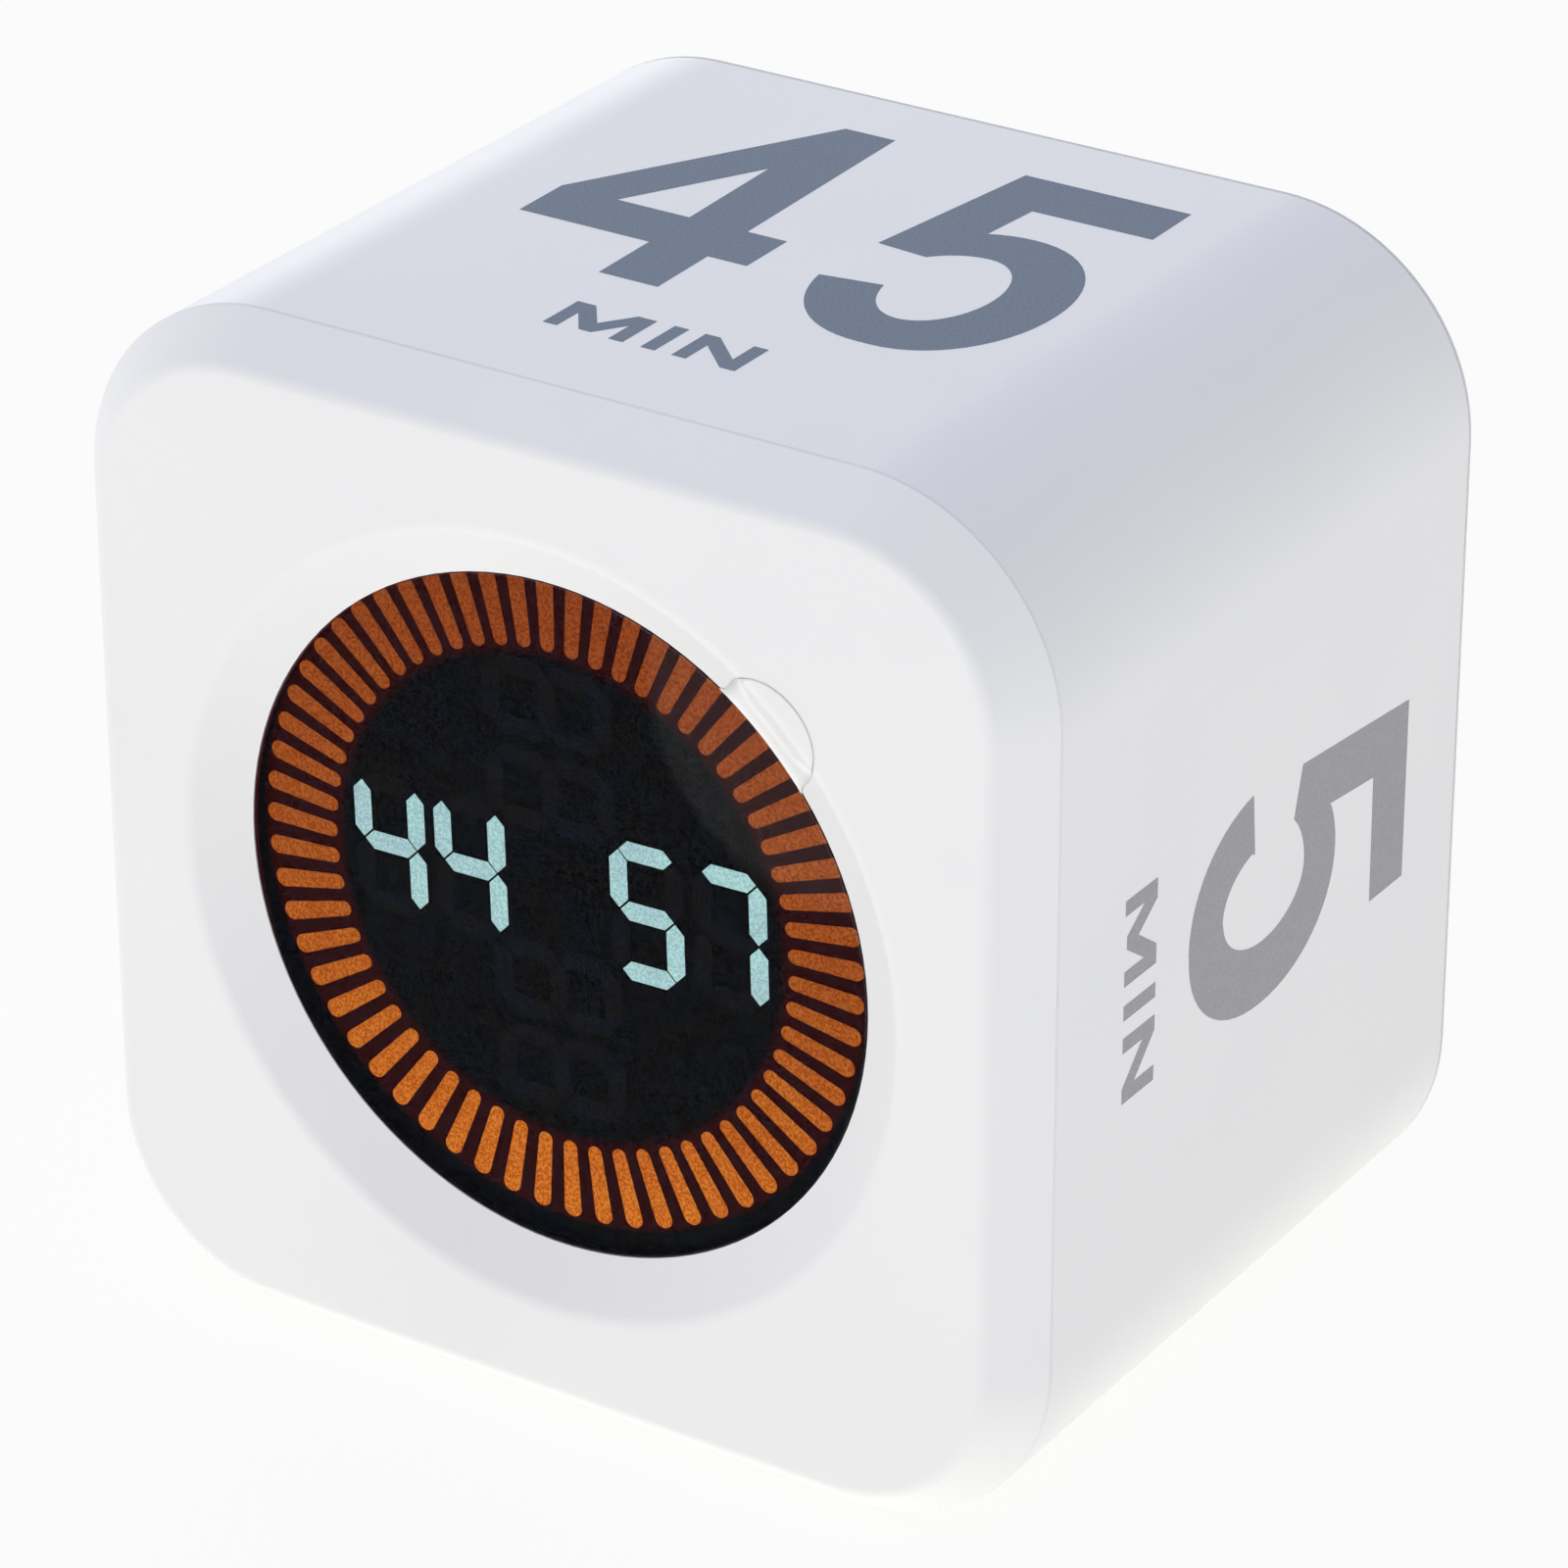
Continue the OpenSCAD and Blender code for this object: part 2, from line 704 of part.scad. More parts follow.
module rear_cover() {
    color(white)
        difference() {
            union() {
                difference() {
                    union() {
                        translate([0, depth_y(rear_seam), mid_z])
                            rotate([-90, 0, 0])
                                edge_block(body_size, corner_r, band_edge);
                        slab(rear_skirt_end, rear_inside)
                            rounded_square(skirt_side, skirt_r);
                    }
                    slab(rear_skirt_end - cut, rear_inside)
                        rounded_square(hollow_side, hollow_r);
                }
                slab(cover_boss_end, rear_inside + bite)
                    at(cover_places)
                        circle(cover_boss_r);
                slab(rear_board_end, rear_inside + bite)
                    at(rear_post_places)
                        circle(post_r);
            }
            slab(panel_face, body_d + cut)
                rounded_rect(panel_w, panel_h, panel_r);
            slab(cover_boss_end - cut, body_d + cut)
                at(cover_places)
                    circle(cover_hole_r);
            slab(cover_seat, body_d + cut)
                at(cover_places)
                    circle(cover_head_r + fit_gap);
            slab(rear_board_end - cut, rear_inside - 2 * fit_gap)
                at(rear_post_places)
                    circle(screw_hole_r);
            slab(rear_inside - cut, panel_face + cut) {
                for (column = [-1 : 1])
                    translate([column * button_pitch, button_z])
                        circle(button_hole_r);
                translate([port_x, port_z])
                    rounded_rect(port_w + 2 * fit_gap, port_h + 2 * fit_gap, port_r + fit_gap);
                translate([knob_x, port_z])
                    square([knob_slot_w, knob_slot_h], center = true);
                translate([0, buzzer_z]) {
                    circle(sound_hole_r);
                    for (hole = [0 : sound_holes - 1])
                        rotate(360 * hole / sound_holes)
                            translate([sound_ring_r, 0])
                                circle(sound_hole_r);
                }
            }
        }
}

module rear_cover_screws() {
    drive_w = cover_head_r * drive_w_share;
    drive_l = cover_head_r * drive_l_share;
    color(steel)
        difference() {
            stand_at(cover_places)
                screw(
                    cover_seat - cover_screw_l,
                    cover_seat,
                    cover_seat + cover_head_h,
                    cover_screw_r,
                    cover_head_r
                );
            slab(cover_seat + cover_head_h / 2, cover_seat + cover_head_h + cut)
                at(cover_places) {
                    square([drive_l, drive_w], center = true);
                    square([drive_w, drive_l], center = true);
                }
        }
}

// Display

module display_window() {
    clear_r = window_r - fit_gap / 2;
    color(clear)
        revolve([
            [0, dish_d], [clear_r, dish_d], [clear_r, lip_end],
            [flange_r, lip_end], [flange_r, flange_end], [0, flange_end]
        ]);
}

module protective_film() {
    tab_end = window_r + tab_reach;
    color(clear) {
        slab(dish_d - film_t, dish_d)
            circle(film_r);
        translate([0, depth_y(0), mid_z])
            rotate([0, -tab_angle, 0])
                intersection() {
                    linear_extrude(tab_w, center = true)
                        polygon([
                            [tab_root, dish_d],
                            [tab_bend, dish_d],
                            [tab_crest, 0],
                            [tab_end, 0],
                            [tab_end, -film_t],
                            [tab_crest, -film_t],
                            [tab_bend, dish_d - film_t],
                            [tab_root, dish_d - film_t]
                        ]);
                    translate([0, dish_d + cut, 0])
                        rotate([90, 0, 0])
                            linear_extrude(dish_d + film_t + 2 * cut) {
                                translate([tab_root - cut, -tab_w / 2])
                                    square([tab_end - tab_w / 2 - tab_root + cut, tab_w]);
                                translate([tab_end - tab_w / 2, 0])
                                    circle(tab_w / 2);
                            }
                }
    }
}

module display_gasket() {
    color(dark)
        slab(flange_end, glass_start)
            difference() {
                circle(gasket_r + gasket_w);
                circle(gasket_r);
            }
}

module lcd_front_glass() {
    color(clear)
        slab(glass_start, cell_start)
            square(glass_side, center = true);
}

module lcd_rear_glass() {
    color(dark)
        slab(rear_glass_start, colour_film_start)
            square([glass_side, stack_h], center = true);
}

module lcd_seal() {
    color(dark)
        slab(cell_start, rear_glass_start)
            difference() {
                square([glass_side, stack_h], center = true);
                square([glass_side - 2 * seal_w, stack_h - 2 * seal_w], center = true);
            }
}

// Drawing of the segments, set in its place in the opening
module in_cell() {
    slab(cell_start, rear_glass_start)
        translate([art_x, art_z])
            rotate(art_turn)
                children();
}

// Outline of one bar of the ring, with round ends
function bar_outline() =
    let (
        r_in = bar_w_in / 2,
        r_out = bar_w_out / 2,
        far = bar_out - r_out,
        near = bar_in + r_in,
        tilt = asin((r_out - r_in) / (far - near))
    )
        concat(
            [
                for (step = [0 : arc_steps])
                    let (a = -90 - tilt + (180 + 2 * tilt) * step / arc_steps)
                        [far + r_out * cos(a), r_out * sin(a)]
            ],
            [
                for (step = [0 : arc_steps])
                    let (a = 90 + tilt + (180 - 2 * tilt) * step / arc_steps)
                        [near + r_in * cos(a), r_in * sin(a)]
            ]
        );

module lcd_bars() {
    color([0.85, 0.42, 0.12])
        in_cell()
            for (bar = [0 : bar_count - 1])
                let (even = 360 * bar / bar_count)
                    rotate(even + bar_crowding * cos(even))
                        polygon(bar_outline());
}

// Middle of a stroke and whether it stands upright
function stroke_place(letter) =
    letter == "a" ? [0, digit_h / 2, false]
    : letter == "b" ? [digit_w / 2, digit_h / 4, true]
    : letter == "c" ? [digit_w / 2, -digit_h / 4, true]
    : letter == "d" ? [0, -digit_h / 2, false]
    : letter == "e" ? [-digit_w / 2, -digit_h / 4, true]
    : letter == "f" ? [-digit_w / 2, digit_h / 4, true]
    : [0, 0, false];

module stroke(length) {
    end = length / 2;
    half = stroke_w / 2;
    polygon([
        [-end, 0], [-end + half, half], [end - half, half],
        [end, 0], [end - half, -half], [-end + half, -half]
    ]);
}

module digit(number) {
    for (letter = lit_strokes[number]) {
        place = stroke_place(letter);
        translate([place[0], place[1]])
            rotate(place[2] ? 90 : 0)
                stroke((place[2] ? digit_h / 2 : digit_w) - stroke_gap);
    }
}

module lcd_digits() {
    color([0.66, 0.84, 0.84])
        in_cell()
            for (place = [0 : 3])
                translate([
                    (place < 2 ? -pair_x : pair_x) + (place % 2 - 0.5) * digit_pitch,
                    digit_rise
                ])
                    digit(readout[place]);
}

module colour_film() {
    color([0.8, 0.5, 0.3])
        slab(colour_film_start, diffuser_start)
            square([glass_side, stack_h], center = true);
}

module diffuser_sheet() {
    color([0.92, 0.93, 0.93])
        slab(diffuser_start, guide_start)
            square([glass_side, stack_h], center = true);
}

module light_guide() {
    color(clear)
        slab(guide_start, reflector_start)
            square([guide_w, stack_h], center = true);
}

module reflector_sheet() {
    color([0.97, 0.97, 0.97])
        slab(reflector_start, floor_start)
            square([guide_w, stack_h], center = true);
}

// Places of the backlight lamps, two at each side of the light guide
module at_lamps() {
    for (s = corner_signs)
        translate([s[0] * lamp_x, s[1] * lamp_z])
            children();
}

module backlight_leds() {
    color([0.98, 0.95, 0.8])
        slab(lamp_start, main_board_start)
            at_lamps()
                square([lamp_t, lamp_l], center = true);
}

module at_strips() {
    for (side = [-1, 1])
        translate([0, side * strip_z])
            children();
}

module lcd_tray() {
    color([0.9, 0.9, 0.88])
        difference() {
            union() {
                slab(tray_rim, main_board_start)
                    square(tray_side, center = true);
                slab(floor_start, main_board_start)
                    at_posts() {
                        circle(post_r);
                        translate([-post_r - fit_gap - tray_wall, -post_r])
                            square([post_r + fit_gap + tray_wall, 2 * post_r]);
                    }
            }
            slab(tray_rim - cut, floor_start)
                square(tray_in, center = true);
            slab(floor_start - cut, main_board_start + cut) {
                at_posts()
                    circle(screw_hole_r);
                at_strips()
                    square([strip_l + 2 * fit_gap, strip_w + 2 * fit_gap], center = true);
                at_lamps()
                    square([lamp_t + 2 * fit_gap, lamp_l + 2 * fit_gap], center = true);
            }
        }
}

module zebra_strips() {
    color([0.75, 0.75, 0.78])
        slab(cell_start, main_board_start)
            at_strips()
                square([strip_l, strip_w], center = true);
}

// Main board

module main_board() {
    color(board_green)
        slab(main_board_start, main_board_end)
            difference() {
                rounded_square(board_side, inner_r - board_gap);
                at_posts()
                    circle(screw_hole_r);
            }
}

module main_board_screws() {
    color(steel)
        stand_at(post_places)
            screw(
                floor_start - pilot_l + fit_gap,
                main_board_end,
                main_board_end + screw_head_h,
                screw_r,
                screw_head_r
            );
}

// Small block on the back of the main board
module on_main_board(x, z, w, h, d) {
    slab(main_board_end, main_board_end + d)
        translate([x, z])
            square([w, h], center = true);
}

// Small block on the front of the rear board
module on_rear_board(x, z, w, h, d) {
    slab(rear_board_start - d, rear_board_start)
        translate([x, z])
            square([w, h], center = true);
}

// Flat leads along the sides of a chip, drawn as seen from the front
module lead_comb(size, leads, sides) {
    pitch = size / (leads + 1);
    for (side = [0 : sides - 1])
        rotate(360 * side / sides)
            for (lead = [1 : leads])
                translate([0, lead * pitch - size / 2 - lead_w / 2])
                    square([size / 2 + lead_l, lead_w]);
}

module controller_chip() {
    color(dark) {
        on_main_board(chip_x, chip_z, chip_size, chip_size, chip_h);
        slab(main_board_end, main_board_end + lead_t)
            translate([chip_x, chip_z])
                lead_comb(chip_size, chip_leads, 4);
    }
}

module tilt_sensor() {
    color(dark)
        on_main_board(tilt_x, tilt_z, tilt_size, tilt_size, tilt_h);
}

module clock_crystal() {
    color(steel)
        on_main_board(crystal_x, chip_z, crystal_w, crystal_l, crystal_h);
}

module vibration_motor() {
    color(steel)
        slab(main_board_end, main_board_end + motor_h)
            translate([motor_x, motor_z])
                circle(motor_r);
}

// Socket that the battery wires enter from below
module battery_socket() {
    color([0.93, 0.91, 0.85])
        difference() {
            on_main_board(socket_x, socket_z, socket_w, socket_h, socket_d);
            translate([0, 0, mid_z + socket_z - socket_h / 2 - cut])
                for (side = [-1, 1])
                    translate([socket_x + side * wire_pitch / 2, depth_y(wire_depth), 0])
                        cylinder(h = cut + socket_h / 2, r = wire_r + screw_play);
        }
}

// Sockets that the ends of the ribbon enter
module ribbon_socket_front() {
    color([0.93, 0.91, 0.85])
        difference() {
            on_main_board(0, ribbon_z, ribbon_socket_w, ribbon_socket_h, ribbon_socket_d);
            slab(ribbon_start - fit_gap, main_board_end + ribbon_socket_d + cut)
                translate([0, ribbon_z])
                    square([ribbon_w + 2 * fit_gap, ribbon_t + 2 * fit_gap], center = true);
        }
}

module ribbon_socket_rear() {
    color([0.93, 0.91, 0.85])
        difference() {
            on_rear_board(0, ribbon_z, ribbon_socket_w, ribbon_socket_h, ribbon_socket_d);
            slab(rear_board_start - ribbon_socket_d - cut, ribbon_end + fit_gap)
                translate([0, ribbon_z])
                    square([ribbon_w + 2 * fit_gap, ribbon_t + 2 * fit_gap], center = true);
        }
}

// Power and wiring

module battery() {
    color([0.72, 0.74, 0.78])
        translate([0, depth_y(battery_start + battery_l), battery_low + battery_t / 2])
            rotate([90, 0, 0])
                linear_extrude(battery_l)
                    rounded_rect(battery_w, battery_t, battery_round);
}

module battery_pad() {
    pad_w = battery_w - 2 * battery_round;
    color(dark)
        translate([-pad_w / 2, depth_y(battery_start), wall])
            cube([pad_w, battery_l, pad_t]);
}

// Two wires, each from the socket down, round a bend and into the end of the battery
module battery_lead() {
    color([0.75, 0.1, 0.08])
        for (side = [-1, 1])
            translate([socket_x + side * wire_pitch / 2, depth_y(wire_depth), mid_z]) {
                translate([0, 0, wire_z + wire_bend_r])
                    cylinder(h = socket_z - fit_gap - wire_z - wire_bend_r, r = wire_r);
                translate([0, wire_bend_r, wire_z + wire_bend_r])
                    rotate([90, 0, 90])
                        rotate(180)
                            rotate_extrude(angle = 90)
                                translate([wire_bend_r, 0])
                                    circle(wire_r);
                translate([0, wire_bend_r, wire_z])
                    rotate([-90, 0, 0])
                        cylinder(h = battery_start - wire_depth - wire_bend_r, r = wire_r);
            }
}

// Height of the ribbon's middle below its sockets, at a share of the way between its leads
function ribbon_hang(share) = ribbon_sag * (1 - cos(360 * share)) / 2;

// One side of the ribbon's outline, drawn along the depth
function ribbon_side(offset) =
    [
        for (step = [0 : ribbon_steps])
            [
                ribbon_start + ribbon_lead + ribbon_span * step / ribbon_steps,
                offset - ribbon_hang(step / ribbon_steps)
            ]
    ];

// Flat cable that hangs in a shallow curve between the two boards
module ribbon_cable() {
    upper = ribbon_side(ribbon_t / 2);
    lower = ribbon_side(-ribbon_t / 2);
    color([0.9, 0.9, 0.92])
        translate([-ribbon_w / 2, depth_y(0), mid_z + ribbon_z])
            rotate([90, 0, 90])
                linear_extrude(ribbon_w)
                    polygon(concat(
                        [[ribbon_start, -ribbon_t / 2], [ribbon_start, ribbon_t / 2]],
                        upper,
                        [[ribbon_end, ribbon_t / 2], [ribbon_end, -ribbon_t / 2]],
                        [for (step = [ribbon_steps : -1 : 0]) lower[step]]
                    ));
}

// Rear board

module rear_board() {
    color(board_green)
        slab(rear_board_start, rear_board_end)
            difference() {
                square([rear_board_w, rear_board_h], center = true);
                at(rear_post_places)
                    circle(screw_hole_r);
            }
}

module rear_board_screws() {
    color(steel)
        stand_at(rear_post_places)
            screw(
                rear_inside - 4 * fit_gap,
                rear_board_start,
                rear_board_start - screw_head_h,
                screw_r,
                screw_head_r
            );
}

module charger_chip() {
    color(dark) {
        on_rear_board(charger_x, charger_z, charger_size, charger_size, charger_h);
        slab(rear_board_start - lead_t, rear_board_start)
            translate([charger_x, charger_z])
                lead_comb(charger_size, charger_leads, 2);
    }
}

module usb_shell() {
    color(steel)
        difference() {
            slab(rear_board_end, port_mouth)
                translate([port_x, port_z])
                    rounded_rect(port_w, port_h, port_r);
            slab(port_floor, port_mouth + cut)
                translate([port_x, port_z])
                    rounded_rect(port_w - 2 * port_wall, port_h - 2 * port_wall, port_r - port_wall);
        }
}

module usb_tongue() {
    color(dark)
        slab(port_floor, tongue_end)
            translate([port_x, port_z])
                square([tongue_w, tongue_h], center = true);
}

module buzzer() {
    color(dark)
        difference() {
            slab(rear_board_end, rear_inside - 2 * fit_gap)
                translate([0, buzzer_z])
                    circle(buzzer_r);
            slab(rear_inside - rear_post_l / 2, rear_inside)
                translate([0, buzzer_z])
                    circle(sound_hole_r);
        }
}

// Body of a push switch, with a well for its plunger
module tact_body(column) {
    color([0.16, 0.16, 0.17])
        difference() {
            slab(rear_board_end, tact_top)
                translate([column * button_pitch, button_z])
                    square(tact_size, center = true);
            slab(well_floor, tact_top + cut)
                translate([column * button_pitch, button_z])
                    circle(well_r);
        }
}

module tact_left() {
    tact_body(-1);
}

module tact_centre() {
    tact_body(0);
}

module tact_right() {
    tact_body(1);
}

module mode_switch_body() {
    color(steel)
        difference() {
            slab(rear_board_end, switch_top)
                translate([knob_x, port_z])
                    square([switch_in_w + 2 * switch_wall, switch_in_h + 2 * switch_wall], center = true);
            slab(switch_floor, switch_roof)
                translate([knob_x, port_z])
                    square([switch_in_w, switch_in_h], center = true);
            slab(switch_roof - cut, switch_top + cut)
                translate([knob_x, port_z])
                    square([lever_slot_w, lever_h + 2 * switch_play], center = true);
        }
}

// Moving pieces

// Button with a bevelled top, an inner flange and a nub that meets its plunger
module push_button(column) {
    color([0.9, 0.9, 0.91])
        translate([column * button_pitch, 0, button_z])
            revolve([
                [0, plunger_top],
                [plunger_r, plunger_top],
                [plunger_r, button_flange_start],
                [button_flange_r, button_flange_start],
                [button_flange_r, button_flange_end],
                [button_r, button_flange_end],
                [button_r, button_top - button_bevel],
                [button_r - button_bevel, button_top],
                [0, button_top]
            ]);
}

module push_plunger(column) {
    color(dark)
        slab(plunger_start, plunger_top)
            translate([column * button_pitch, button_z])
                circle(plunger_r);
}

module minute_button() {
    push_button(-1);
}

module minute_plunger() {
    push_plunger(-1);
}

module second_button() {
    push_button(0);
}

module second_plunger() {
    push_plunger(0);
}

module start_button() {
    push_button(1);
}

module start_plunger() {
    push_plunger(1);
}

// Knob with a hidden plate that keeps its slot covered, and ribs for the thumb
module mode_knob() {
    rib_pitch = knob_w / knob_ribs;
    color([0.9, 0.9, 0.91])
        difference() {
            union() {
                slab(knob_plate_start, knob_plate_end)
                    translate([knob_x, port_z])
                        square([knob_plate_w, knob_plate_h], center = true);
                slab(knob_plate_start, knob_top)
                    translate([knob_x, port_z])
                        square([knob_w, knob_h], center = true);
            }
            slab(knob_plate_start - cut, lever_end + fit_gap)
                translate([knob_x, port_z])
                    square([lever_w + 2 * fit_gap, lever_h + 2 * fit_gap], center = true);
            slab(knob_top - knob_rib_d, knob_top + cut)
                for (rib = [1 : knob_ribs])
                    translate([knob_x - knob_w / 2 + (rib - 0.5) * rib_pitch, port_z])
                        square([rib_pitch / 2, knob_h + 2 * cut], center = true);
        }
}

module mode_lever() {
    color(dark) {
        slab(lever_start, lever_start + lever_foot_t)
            translate([knob_x, port_z])
                square([lever_foot_w, lever_foot_h], center = true);
        slab(lever_start, lever_end)
            translate([knob_x, port_z])
                square([lever_w, lever_h], center = true);
    }
}

front_bezel();
sleeve();
rear_cover();
rear_cover_screws();
display_window();
protective_film();
display_gasket();
lcd_front_glass();
lcd_seal();
lcd_bars();
lcd_digits();
lcd_rear_glass();
colour_film();
diffuser_sheet();
light_guide();
reflector_sheet();
backlight_leds();
lcd_tray();
zebra_strips();
main_board();
main_board_screws();
controller_chip();
tilt_sensor();
clock_crystal();
vibration_motor();
battery_socket();
ribbon_socket_front();
battery();
battery_pad();
battery_lead();
ribbon_cable();
rear_board();
rear_board_screws();
ribbon_socket_rear();
charger_chip();
usb_shell();
usb_tongue();
buzzer();
tact_left();
tact_centre();
tact_right();
mode_switch_body();
minute_button();
minute_plunger();
second_button();
second_plunger();
start_button();
start_plunger();
mode_knob();
mode_lever();
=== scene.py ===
"""Looks of the cube timer: satin mouldings, printed times, a lit display under its film, and soft light."""

import json
import math

import bmesh
import bpy
from mathutils import Matrix, Vector
from mathutils.geometry import delaunay_2d_cdt


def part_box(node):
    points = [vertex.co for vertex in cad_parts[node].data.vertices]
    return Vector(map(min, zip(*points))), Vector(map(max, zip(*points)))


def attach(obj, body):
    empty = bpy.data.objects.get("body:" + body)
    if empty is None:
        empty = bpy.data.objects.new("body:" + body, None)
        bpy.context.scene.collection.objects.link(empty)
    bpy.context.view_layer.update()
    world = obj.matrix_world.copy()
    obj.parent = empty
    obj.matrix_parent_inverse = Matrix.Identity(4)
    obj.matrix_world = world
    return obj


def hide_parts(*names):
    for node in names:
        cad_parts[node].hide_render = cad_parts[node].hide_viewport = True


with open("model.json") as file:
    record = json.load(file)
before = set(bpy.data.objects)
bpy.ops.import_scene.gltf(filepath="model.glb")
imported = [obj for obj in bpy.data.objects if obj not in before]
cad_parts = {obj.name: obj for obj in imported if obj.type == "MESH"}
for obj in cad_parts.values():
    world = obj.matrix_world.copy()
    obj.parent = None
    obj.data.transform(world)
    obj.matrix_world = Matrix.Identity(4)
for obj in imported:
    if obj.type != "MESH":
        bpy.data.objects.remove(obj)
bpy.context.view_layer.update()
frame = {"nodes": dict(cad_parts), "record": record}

# Sizes are in millimetres and angles in degrees, and meshes are in metres.
MM = 0.001

BODY_LOW, BODY_HIGH = (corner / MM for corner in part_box("sleeve"))
FRONT_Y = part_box("front_bezel")[0].y / MM
MIDDLE_Z = (BODY_LOW.z + BODY_HIGH.z) / 2

# The solid bars fill the gap of the display cell from front to back.
CELL_FRONT, CELL_BACK = (corner.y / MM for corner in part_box("lcd_bars"))

# Copies of solids: corners this close are merged, faces this flat are joined, and edges this sharp stay sharp
CAD_WELD = 0.002
FLAT_ANGLE = 0.2
CREASE_ANGLE = 35.0

# Display: its dish, its window, and the ring of bars and the digits behind it
DISH_DEPTH = 1.9
DISH_RADIUS = 22.5
DISPLAY_RADIUS = 19.5
CELL_CLEARANCE = 0.01
PLATE_THICKNESS = CELL_BACK - CELL_FRONT - 2 * CELL_CLEARANCE
PLATE_WELD = 0.0001
ART_MIDDLE = (-0.45, 0.5)
ART_TURN = 1.5
BAR_COUNT = 60
BAR_CORNERS = 20
BAR_TURN = 1.7
BAR_CROWDING = 2.0
BAR_INNER_RADIUS = 14.35
BAR_OUTER_RADIUS = 18.95
BAR_INNER_WIDTH = 0.85
BAR_OUTER_WIDTH = 1.08
DIGIT_WIDTH = 3.456
DIGIT_HEIGHT = 7.016
DIGIT_PITCH = 5.2
PAIR_OFFSET = 8.208
DIGIT_RISE = 0.55
TURNED_MIDDLE = (-0.25, 0.48)
STROKE_CORNERS = 6
STROKE_WIDTH = 1.08
STROKE_GAP = 0.16
READOUT = (4, 4, 5, 7)
LIT_STROKES = ("abcdef", "bc", "abged", "abgcd", "fgbc", "afgcd", "afgecd", "abc", "abcdefg", "abcdfg")

# Protective film: a disc that lifts off the window along a chord and ends in a pull tab
FILM_RADIUS = 19.4
FILM_THICKNESS = 0.04
FILM_GRID = 0.6
FILM_WELD = 0.000001
FILM_LIFT_START = 15.2
FILM_LIFT_LENGTH = 2.0
FILM_AIR_GAP = 0.03
FILM_FOOT_SOFTNESS = 0.15
FILM_BROW_SOFTNESS = 0.1
FILM_BROW_RADIUS = DISH_RADIUS + 0.1
DISC_STEPS = 96
TAB_ANGLE = 47.0
TAB_WIDTH = 6.3
TAB_END = 23.9
TAB_TIP = 2.6
TIP_STEPS = 24
TAB_FILLET = 0.8
FILLET_STEPS = 8

# How much of the film shows at its frosted tab, in its veil over air, elsewhere and at its edge, and colours
FROST_SHARE = 0.92
FROST_BLUR = 0.1
VEIL_ANGLE = 44.0
VEIL_DISTANCE = 23.0
VEIL_RADIUS = 10.3
VEIL_BLUR = 0.4
VEIL_SHARE = 0.0070
CLEAR_SHARE = 0.001
FILM_EDGE_SHARE = 0.2
VEIL_COLOUR = (0.95, 0.92, 0.88)
FROST_TONES = ((0.96, 0.96, 0.96), (0.98, 0.98, 0.98))
FILM_EDGE_TONES = ((0.70, 0.70, 0.71), (0.77, 0.77, 0.78))

# Printed ink: how far it stands out of the sleeve and bites into it, and how close its corners are merged
INK_RISE = 0.012
INK_BITE = 0.03
INK_WELD = 0.001

# Sizes of the patterns in the finishes
PLAIN_PATCH = 14.0
STREAK_SIZE = 0.2
STREAK_RELIEF = 0.004
HAZE_SIZE = 6.0
SHEET_RELIEF = 0.0005
WRINKLE_SIZE = 4.0
EDGE_GRAIN = 1.5
DISPLAY_GRAIN = 0.16
SEGMENT_GRAIN = 0.5
DARK_PATCH = 2.6
LIT_PATCH = 3.0
PAPER_PATCH = 30.0

# What the patches in the painted light of the display's black, and in its lit segments, multiply their colour
# by
DARK_PATCH_TINTS = ((1.25, 0.95, 0.75), (0.75, 1.05, 1.25))
LIT_PATCH_TINTS = ((0.96, 0.9, 0.95), (1.04, 1.1, 1.05))

# The bars' light leaks into the black between them, and fades over these lengths inside and outside the ring
LEAK_INNER_BLUR = 0.6
LEAK_OUTER_BLUR = 0.3

# Camera, fitted to the photo, whose side is given in pixels
PHOTO_SIDE = 1600
CAMERA_FOCUS = (0.0, -1.508, 30.0)
CAMERA_DISTANCE = 371.67
CAMERA_AZIMUTH = 33.253
CAMERA_ELEVATION = 26.837
CAMERA_ROLL = -0.188
CAMERA_LENS = 156.73
CAMERA_SENSOR = 36
CAMERA_SHIFT = (13.69 / PHOTO_SIDE, -15.12 / PHOTO_SIDE)
CAMERA_CLIP = 10

# Light from each side of the tent, from the floor before and behind the timer, and from a strip behind it
TENT_LEFT = (0.87, 0.85, 0.80)
TENT_RIGHT = (0.19, 0.185, 0.16)
TENT_FRONT = (0.66, 0.64, 0.58)
TENT_BACK = (0.45, 0.41, 0.28)
TENT_ROOF = (0.86, 0.925, 1.18)
FLOOR_HALF_SIDE = 3000
FLOOR_FADE = 100
FLOOR_GLOW_FRONT = (0.68, 0.67, 0.63)
FLOOR_GLOW_BACK = (0.54, 0.53, 0.49)
FLOOR_TONES = ((0.88, 0.868, 0.81), (0.90, 0.888, 0.83))
FLOOR_WHITE_SHARE = 0.9
BACKDROP_WHITE = (0.97, 0.97, 0.97)
STRIP_PLACE = (-520, 600, 130)
STRIP_SIZE = (500, 160)
STRIP_POWER = 0.50

